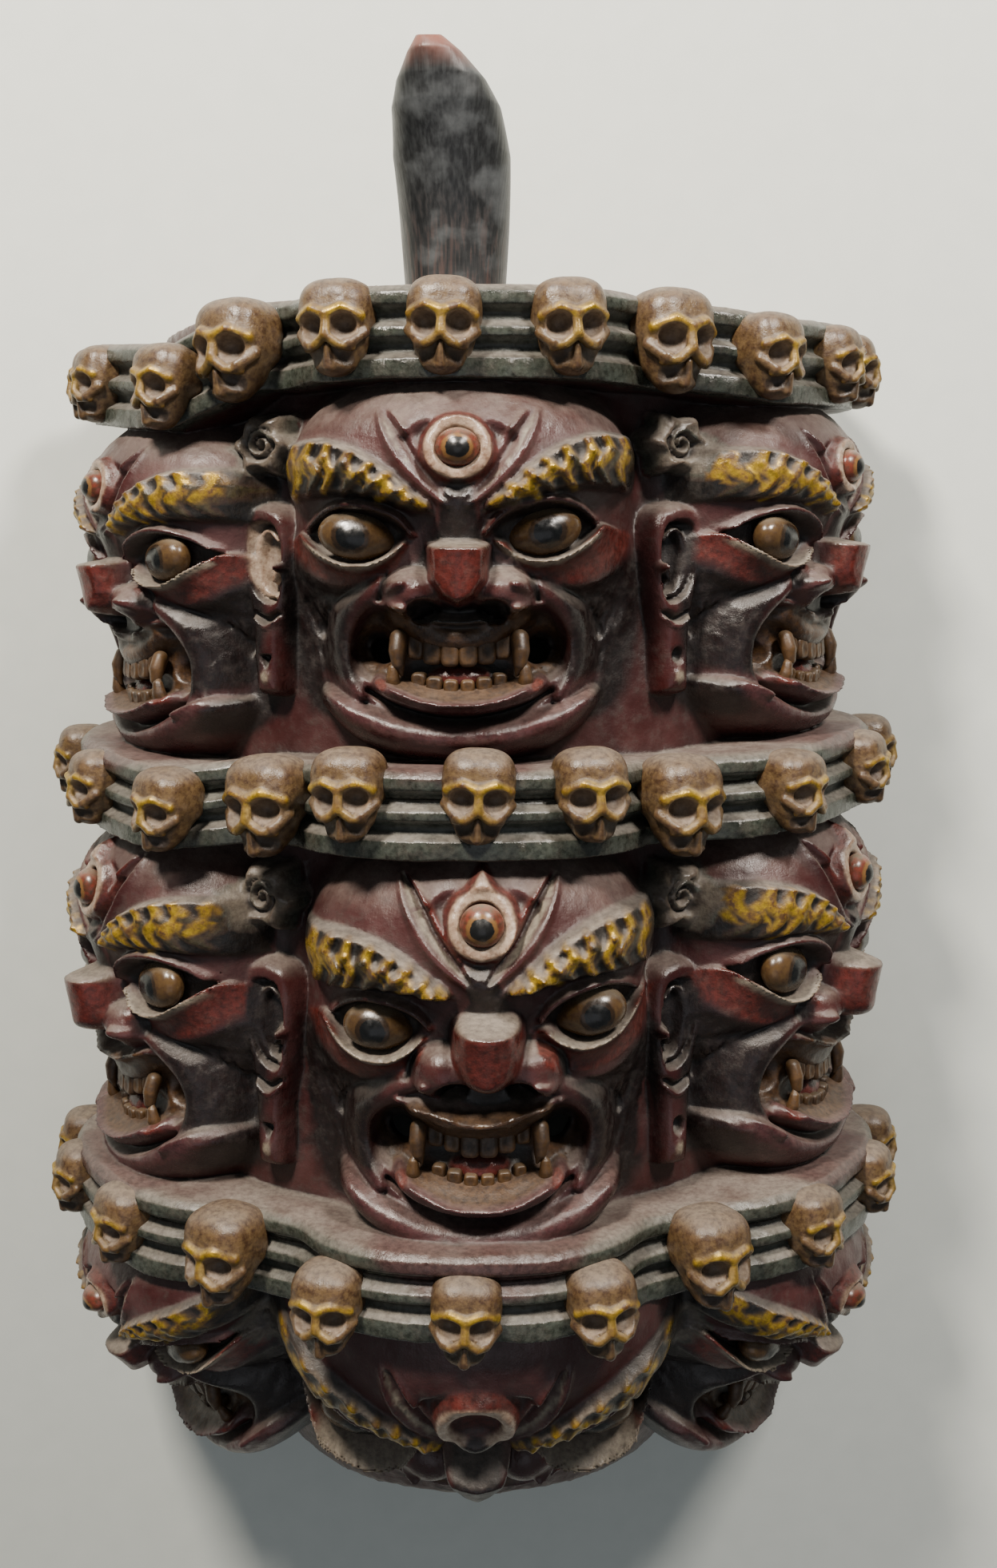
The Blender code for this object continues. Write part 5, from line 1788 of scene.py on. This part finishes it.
        # knife facets about 7 mm wide, brush marks and grain about 1 mm wide
        facet = add(tree, "ShaderNodeTexVoronoi", {"Vector": place, "Scale": 140.0, "Smoothness": 0.35},
                    feature="SMOOTH_F1").outputs[0]
        stretched = add(tree, "ShaderNodeMapping", {"Vector": place,
                                                    "Scale": (900.0, 120.0, 900.0)}).outputs[0]
        grain = add(tree, "ShaderNodeTexNoise", {"Vector": stretched, "Scale": 1.0, "Detail": 3.0}).outputs[0]
        bump = add(tree, "ShaderNodeBump", {"Height": facet, "Strength": 0.45, "Distance": 0.0007})
        for height, strength, distance in ((grain, 0.3, 0.0003), (wear, 0.45, 0.0012), (fleck, 0.4, 0.0004)):
            bump = add(tree, "ShaderNodeBump", {"Height": height, "Strength": strength, "Distance": distance,
                                                "Normal": bump.outputs[0]})
        tree.links.new(bump.outputs[0], shader.inputs["Normal"])
        return item


@dataclass(frozen=True)
class PlainPaint:
    """One brushed colour with flecks, for the teeth."""

    name: str
    shades: Tuple[str, str]
    dirt_and_shade: str
    rough: float
    metallic: float = 0.0
    dust: float = 0.3

    def material(self) -> bpy.types.Material:
        """Build the node material."""
        item, tree, shader, place = new_finish(self.name)
        # flecks and scratches about 2.5 mm across
        fleck = add(tree, "ShaderNodeTexNoise", {"Vector": place, "Scale": 380.0, "Detail": 5.0,
                                                 "Roughness": 0.7}).outputs[0]
        relief = add(tree, "ShaderNodeAttribute", attribute_name="relief").outputs["Fac"]
        tint = add(tree, "ShaderNodeAttribute", attribute_name="tint").outputs["Fac"]
        speckle = ramp(tree, fleck, 0.35, 0.7)
        mixed = add(tree, "ShaderNodeMath", {0: speckle, 1: ramp(tree, tint, 0.0, 1.0, -0.3, 0.3)},
                    operation="ADD", use_clamp=True).outputs[0]
        colour = blend(tree, mixed, linear(self.shades[0]), linear(self.shades[1]))
        # hollows of the teeth are darkened towards the dirt colour: partly dirt, partly painted shade
        colour = blend(tree, ramp(tree, relief, 0.1, -0.7, 0.0, 0.85), colour, linear(self.dirt_and_shade))
        up = facing_up(tree)
        colour = blend(tree, ramp(tree, up, 0.35, 1.0, 0.0, self.dust), colour, linear("9d9482"))
        tree.links.new(colour, shader.inputs["Base Color"])
        tree.links.new(ramp(tree, fleck, 0.3, 0.75, self.rough, self.rough + 0.25), shader.inputs["Roughness"])
        shader.inputs["Metallic"].default_value = self.metallic
        bump = add(tree, "ShaderNodeBump", {"Height": fleck, "Strength": 0.5, "Distance": 0.0004})
        tree.links.new(bump.outputs[0], shader.inputs["Normal"])
        return item


@dataclass(frozen=True)
class EyeLacquer:
    """Painted and varnished eyeball: brown round a black pupil, glossier than the skin."""

    name: str
    white: str
    iris: str
    pupil: str
    rough: float = 0.3

    def material(self) -> bpy.types.Material:
        """Build the node material."""
        item, tree, shader, place = new_finish(self.name)
        fleck = add(tree, "ShaderNodeTexNoise", {"Vector": place, "Scale": 400.0, "Detail": 4.0}).outputs[0]
        ring = add(tree, "ShaderNodeAttribute", attribute_name="ring").outputs["Fac"]
        shaken = add(tree, "ShaderNodeMath", {0: ring, 1: ramp(tree, fleck, 0.2, 0.8, -0.1, 0.1)},
                     operation="ADD").outputs[0]
        colour = blend(tree, ramp(tree, fleck, 0.35, 0.7), linear(self.white), linear("3a2817"))
        colour = blend(tree, ramp(tree, shaken, 1.36, 1.22), colour, linear(self.iris))
        colour = blend(tree, ramp(tree, shaken, 1.0, 0.93), colour, linear(self.pupil))
        up = facing_up(tree)
        colour = blend(tree, ramp(tree, up, 0.5, 1.0, 0.0, 0.5), colour, linear("8c8474"))
        tree.links.new(colour, shader.inputs["Base Color"])
        tree.links.new(ramp(tree, fleck, 0.3, 0.7, self.rough, self.rough + 0.2), shader.inputs["Roughness"])
        bump = add(tree, "ShaderNodeBump", {"Height": fleck, "Strength": 0.35, "Distance": 0.0003})
        tree.links.new(bump.outputs[0], shader.inputs["Normal"])
        return item


@dataclass(frozen=True)
class StainedHorn:
    """Black stain rubbed into close-grained wood and waxed, grey where the wax has gone dull."""

    name: str
    tip_height: float

    def material(self) -> bpy.types.Material:
        """Build the node material."""
        item, tree, shader, place = new_finish(self.name)
        # grain lines about 1.5 mm apart run up the horn
        stretched = add(tree, "ShaderNodeMapping", {"Vector": place,
                                                    "Scale": (650.0, 32.0, 650.0)}).outputs[0]
        grain = add(tree, "ShaderNodeTexNoise", {"Vector": stretched, "Scale": 1.0, "Detail": 5.0}).outputs[0]
        cloud = add(tree, "ShaderNodeTexNoise", {"Vector": place, "Scale": 45.0, "Detail": 4.0}).outputs[0]
        streak = ramp(tree, grain, 0.4, 0.7)
        colour = blend(tree, streak, linear("121314"), linear("2b2d2e"))
        colour = blend(tree, ramp(tree, cloud, 0.52, 0.7, 0.0, 0.7), colour, linear("54585a"))
        height = add(tree, "ShaderNodeSeparateXYZ", {0: place}).outputs[1]
        tip = ramp(tree, height, self.tip_height - 0.017, self.tip_height - 0.004)
        tip = add(tree, "ShaderNodeMath", {0: tip, 1: ramp(tree, cloud, 0.36, 0.6)},
                  operation="MULTIPLY").outputs[0]
        colour = blend(tree, tip, colour, linear("6e4236"))
        low = ramp(tree, height, self.tip_height - 0.062, self.tip_height - 0.108, 0.0, 0.4)
        low = add(tree, "ShaderNodeMath", {0: low, 1: ramp(tree, grain, 0.5, 0.62)},
                  operation="MULTIPLY").outputs[0]
        colour = blend(tree, low, colour, linear("4a2a1e"))
        tree.links.new(colour, shader.inputs["Base Color"])
        tree.links.new(ramp(tree, cloud, 0.3, 0.7, 0.3, 0.55), shader.inputs["Roughness"])
        bump = add(tree, "ShaderNodeBump", {"Height": grain, "Strength": 0.4, "Distance": 0.0005})
        bump = add(tree, "ShaderNodeBump", {"Height": cloud, "Strength": 0.4, "Distance": 0.0015,
                                            "Normal": bump.outputs[0]})
        tree.links.new(bump.outputs[0], shader.inputs["Normal"])
        return item


@dataclass
class Horn:
    """The black finial that stands on the flat top of the mask."""

    foot_y: float = 0.2283
    top_y: float = 0.228
    x: float = -0.0075
    z: float = 0.150
    height: float = 0.1125
    half_width: float = 0.028
    half_depth: float = 0.025
    lean_x: float = -0.011
    lean_z: float = 0.036
    levels: Tuple[float, ...] = (0.0, 0.30, 0.58, 0.75, 0.84, 0.93, 1.0)
    widths: Tuple[float, ...] = (0.84, 0.92, 0.98, 0.90, 0.74, 0.46, 0.18)
    depths: Tuple[float, ...] = (1.00, 0.95, 0.95, 0.92, 0.84, 0.66, 0.30)
    step: float = 0.0008

    def build(self, material: bpy.types.Material) -> None:
        """Carve the horn and put it in place."""
        low = (self.x - 0.050, self.top_y - 0.004, self.z - 0.034)
        block = Block(low, (self.x + 0.042, self.top_y + self.height + 0.006, self.z + 0.076), self.step)
        x, y, z = block.axes[0][:, None, None], block.axes[1][None, :, None], block.axes[2][None, None, :]
        rise = np.clip((y - self.top_y) / self.height, 0.0, 1.0)
        spine_x = self.x + self.lean_x * rise ** 4
        spine_z = self.z + self.lean_z * rise ** 2
        wide = self.half_width * np.interp(rise, self.levels, self.widths)
        deep = self.half_depth * np.interp(rise, self.levels, self.depths)
        power = 2.4
        ratio = (np.abs(x - spine_x) / wide) ** power + (np.abs(z - spine_z) / deep) ** power
        body = (ratio ** (1.0 / power) - 1.0) * np.minimum(wide, deep)
        dome = y - (self.top_y + self.height) + 0.25 * np.abs(z - spine_z)
        block.value = np.maximum(body, dome).astype(np.float32)
        place = Place(0.0, self.z + self.lean_z, self.top_y + self.height, 0.0, self.x + self.lean_x)
        for end in ((-8.0, -25.0, 9.0), (17.0, -23.0, 12.0)):
            block.work(place, Bar(((0.0, -12.0, 14.0), end), (1.3, 1.3)), 0.6, True)
        block.value = np.maximum(block.value, self.foot_y - y).astype(np.float32)
        mesh = reduce(block.surface("horn_finial"), 26000)
        dress(mesh, None)
        to_frame(mesh)
        piece("horn_finial", mesh, material, "horn")


@dataclass
class Trim:
    """What repeats on the heads: skulls, teeth, fangs and eyes."""

    tiers: List[Tier]

    def skulls(self) -> Repeated:
        """The ring of skulls on each crown band."""
        row = Repeated("crown_skulls", skull_shape(), 0.0, 5)
        for tier in self.tiers:
            for number, (place, size) in enumerate(tier.skull_places()):
                row.put(place, (0.0, 0.0, 0.0), (size, size, size), 2.5 * math.sin(2.3 * number))
        return row

    def teeth(self) -> Tuple[Repeated, Repeated]:
        """Front teeth and fangs of every mouth."""
        teeth = Repeated("teeth", tooth_shape(), 0.1, 11)
        fangs = Repeated("fangs", fang_shape(), 0.06, 12)
        for tier in self.tiers:
            for head in tier.heads():
                low = head.mouth_drop
                for side in (-1.0, 1.0):
                    for u in (4.2, 12.4, 20.2):
                        out = 2.4 - 0.012 * u * u
                        spot = (u * side, UPPER_GUM_V + low + 0.010 * u * u, out)
                        teeth.put(head.place, spot, (1.04, 0.94, 1.0), 0.0, -6.0, side * u * 0.9)
                        spot = (u * side * 0.94, LOWER_GUM_V + low + 0.008 * u * u, out - 0.6)
                        teeth.put(head.place, spot, (0.84, -0.56, 0.84), 0.0, 8.0, side * u * 0.9)
                    spot = (28.5 * side, UPPER_GUM_V + low, 0.5)
                    fangs.put(head.place, spot, (side, 0.95, 1.0), 0.0, -4.0)
                    spot = (31.0 * side, LOWER_GUM_V + 5.5 + low, 0.5)
                    fangs.put(head.place, spot, (side * 0.85, -0.8, 0.85), 0.0, 4.0)
        return teeth, fangs

    def eyes(self) -> Tuple[Repeated, Repeated]:
        """Teardrop eyeballs and the balls of the third eyes."""
        tear = [(Egg((2.0, 0.0, 0.0), (18.0, 13.4, 10.5)), 0.5, False, None, 0.0),
                (Bar(((-4.0, -0.5, 0.0), (-23.0, -2.0, -2.0)), (10.0, 1.4)), 5.0, False, None, 0.0),
                (Egg((3.5, -1.0, 6.4), (7.4, 7.4, 4.8)), 0.6, False, None, 0.0)]
        ball = [(Egg((0.0, 0.0, 0.0), (10.2, 10.2, 8.0)), 0.5, False, None, 0.0),
                (Egg((0.0, -0.5, 4.6), (5.8, 5.8, 4.2)), 0.6, False, None, 0.0)]
        eyes = Repeated("eyes", ball_shape("eyeball", tear, (26.0, 15.0, 13.0), (3.5, -1.0), 7.2), 0.0, 1)
        third = Repeated("third_eyes", ball_shape("third_ball", ball, (12.0, 12.0, 10.0), (0.0, -0.5), 5.6),
                         0.0, 1)
        for tier in self.tiers:
            for head in tier.heads():
                wide, tall = head.place.wide, head.place.tall
                size = head.eye_scale
                for side in (-1.0, 1.0):
                    u = head.eyes[int(side > 0.0)] * side
                    spot = (u, EYE_V + head.eye_drop + head.cant * u, 0.0)
                    tilt = math.degrees(math.atan(head.cant)) + 9.0 * side
                    eyes.put(head.place, spot, (wide * side * size, tall * size, wide), tilt)
                if head.blind:
                    continue
                third.put(head.place, (0.4 * head.nose_shift, head.mark, 22.5), (wide, tall, wide))
        return eyes, third


def hang_light(name: str, spot: Spot, target: Spot, size: float, power: float, colour: str) -> None:
    """Place a square light that faces a spot.

    Args:
        name: light name.
        spot: where it stands.
        target: what it faces.
        size: its side in metres.
        power: its power in watts.
        colour: its colour.
    """
    light = bpy.data.lights.new(name, "AREA")
    light.size = size
    light.energy = power
    light.color = linear(colour)[:3]
    item = bpy.data.objects.new(name, light)
    item.location = spot
    item.rotation_euler = (Vector(target) - Vector(spot)).to_track_quat("-Z", "Y").to_euler()
    bpy.context.scene.collection.objects.link(item)


def lay_floor() -> None:
    """Plain pale floor under the mask."""
    mesh = bpy.data.meshes.new("floor")
    corners = [(-4.0, -4.0, 0.0), (4.0, -4.0, 0.0), (4.0, 4.0, 0.0), (-4.0, 4.0, 0.0)]
    mesh.from_pydata(corners, [], [(0, 1, 2, 3)])
    floor = bpy.data.objects.new("floor", mesh)
    floor.location = (0.0, 0.0, -0.0004)
    bpy.context.scene.collection.objects.link(floor)
    item = bpy.data.materials.new("matt_pale_board")
    item.use_nodes = True
    tree = item.node_tree
    place = add(tree, "ShaderNodeTexCoord").outputs["Object"]
    mottle = add(tree, "ShaderNodeTexNoise", {"Vector": place, "Scale": 60.0, "Detail": 3.0}).outputs[0]
    shader = tree.nodes["Principled BSDF"]
    tree.links.new(blend(tree, mottle, linear("c9cfca"), linear("d2d7d2")), shader.inputs["Base Color"])
    shader.inputs["Roughness"].default_value = 0.8
    mesh.materials.append(item)


def set_camera() -> None:
    """Camera over the lying mask at the photograph's angle."""
    camera = bpy.data.cameras.new("camera")
    camera.sensor_width = 36.0
    camera.lens = 36.0 * FOCAL_LENGTH / FRAME_HEIGHT
    camera.clip_start = 0.05
    item = bpy.data.objects.new("camera", camera)
    item.location = (0.013 - OUTLINE_MIDDLE[0], 0.101 - OUTLINE_MIDDLE[1], 0.94)
    item.rotation_euler = (math.radians(-7.5), 0.0, 0.0)
    bpy.context.scene.collection.objects.link(item)
    bpy.context.scene.camera = item


def set_light() -> None:
    """Soft key from above the horn, a weak fill and a grey surround."""
    hang_light("key", (-0.55, 1.35, 1.1), (0.0, 0.0, 0.1), 0.26, 62.0, "fff4e6")
    hang_light("side", (0.7, 1.25, 1.05), (0.0, 0.0, 0.1), 0.26, 40.0, "fff6ec")
    hang_light("fill", (0.0, -0.5, 1.8), (0.0, 0.0, 0.1), 1.4, 3.0, "f4f6ff")
    world = bpy.data.worlds.new("surround")
    world.use_nodes = True
    world.node_tree.nodes["Background"].inputs[0].default_value = linear("dfe5e8")
    world.node_tree.nodes["Background"].inputs[1].default_value = 0.21
    bpy.context.scene.world = world


def mask_tiers() -> List[Tier]:
    """The three rings of heads, from the horn down to the neck."""
    return [
        Tier(edge=0.187, band=0.041, band_radius=0.216,
             rise=(-0.002, -0.018, 0.0, 0.0, -0.005, 0.002),
             middle=dict(radius=0.205, wide=0.97, tall=0.84, low=0.84, tilt=0.0, shift=-0.005),
             outer=dict(radius=0.207, wide=0.89, tall=0.81, low=0.81, tilt=0.0, shift=0.0),
             middle_face=dict(brow_dip=-9.0, eye_drop=-2.5, eye_scale=0.98, eyes=(46.5, 38.0), cant=0.03,
                              blade=0.35, nose_drop=-12.0, mouth_drop=-6.5, chin_drop=-13.0),
             outer_face=dict(brow_dip=-5.0, eye_drop=-3.0, nose_drop=-8.0, mouth_drop=-11.0,
                             chin_drop=-12.0, nose_reach=0.84, flame=0.45, blade=0.5),
             skulls=(-76.0, -62.0, -43.0, -33.0, -16.0, -3.0, 12.0, 27.5, 41.5, 57.5, 72.0),
             skull_lift=0.002, pointed_ring=False, round_nose=False),
        Tier(edge=-0.022, band=0.041, band_radius=0.230,
             rise=(0.003, -0.012, -0.006, -0.006, -0.003, 0.008),
             middle=dict(radius=0.214, wide=1.00, tall=0.98, low=1.00, tilt=0.0, shift=0.004),
             outer=dict(radius=0.217, wide=0.92, tall=0.94, low=0.94, tilt=0.0, shift=0.0),
             middle_face=dict(mark=-28.5, cant=0.07, eye_scale=0.88, eyes=(46.0, 51.5), nose_shift=4.0,
                              nose_reach=0.90, chin_drop=-7.0),
             outer_face=dict(mark=-31.0, nose_drop=-4.0, mouth_drop=-5.0, chin_drop=-5.0,
                             nose_reach=0.84, flame=0.45, blade=0.6),
             skulls=(-76.0, -58.0, -40.5, -26.5, -14.0, 1.0, 14.0, 27.5, 43.5, 62.0, 76.0),
             skull_lift=0.009, pointed_ring=True, round_nose=True),
        Tier(edge=-0.257, band=0.042, band_radius=0.240,
             rise=(0.014, 0.006, 0.004, 0.004, 0.008, 0.014),
             middle=dict(radius=0.226, wide=1.24, tall=1.26, low=0.70, tilt=42.0, shift=0.002),
             outer=dict(radius=0.233, wide=0.94, tall=0.68, low=0.82, tilt=27.0, shift=0.0),
             middle_face=dict(mark=-38.0, brow_dip=-4.0, nose_reach=0.85, roll=26.0, flame=0.4, blade=0.6,
                              blind=True),
             outer_face=dict(mark=-35.0, nose_drop=-3.0, mouth_drop=-4.0, chin_drop=-4.0,
                             nose_reach=0.7, flame=0.4, blade=0.5),
             skulls=(-77.0, -65.0, -49.0, -33.0, -16.5, -0.5, 15.0, 31.5, 46.5, 64.0, 77.0),
             skull_lift=-0.009, pointed_ring=False, round_nose=False,
             skull_seats=(0.011, 0.004, 0.004, 0.017, 0.005, 0.005, 0.005, 0.017, 0.004, 0.004, 0.009)),
    ]


def main() -> None:
    """Build, dress and light the mask."""
    logging.basicConfig(level=logging.INFO, format="%(message)s")
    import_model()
    body = Body()
    tiers = mask_tiers()
    skin = OldPaint("maroon_distemper_on_wood", ("351615", "452928"), 0.78, 0.9, (0.2, 0.48)).material()
    gilding = OldPaint("gilded_lacquer_on_wood", ("5d4a30", "3a281a"), 0.55, 0.8, (0.3, 0.52)).material()
    tooth = PlainPaint("ochre_tooth_paint", ("4c351b", "2b1c0f"), "120b07", 0.34, 0.0, 0.12).material()
    eye = EyeLacquer("varnished_eye_paint", "4d3a22", "271b10", "0b0c0d", 0.18).material()
    third = EyeLacquer("varnished_forehead_eye", "6b3226", "6e4f2c", "151515", 0.2).material()
    Shell(body, tiers).build(skin)
    trim = Trim(tiers)
    trim.skulls().build(gilding, "painted_wood")
    teeth, fangs = trim.teeth()
    teeth.build(tooth, "painted_wood")
    fangs.build(tooth, "painted_wood")
    eyes, thirds = trim.eyes()
    eyes.build(eye, "painted_wood")
    thirds.build(third, "painted_wood")
    horn = Horn()
    stain = StainedHorn("black_stained_horn_wood", horn.top_y + horn.height - OUTLINE_MIDDLE[1]).material()
    horn.build(stain)
    lay_floor()
    set_camera()
    set_light()


if __name__ == "__main__":
    main()
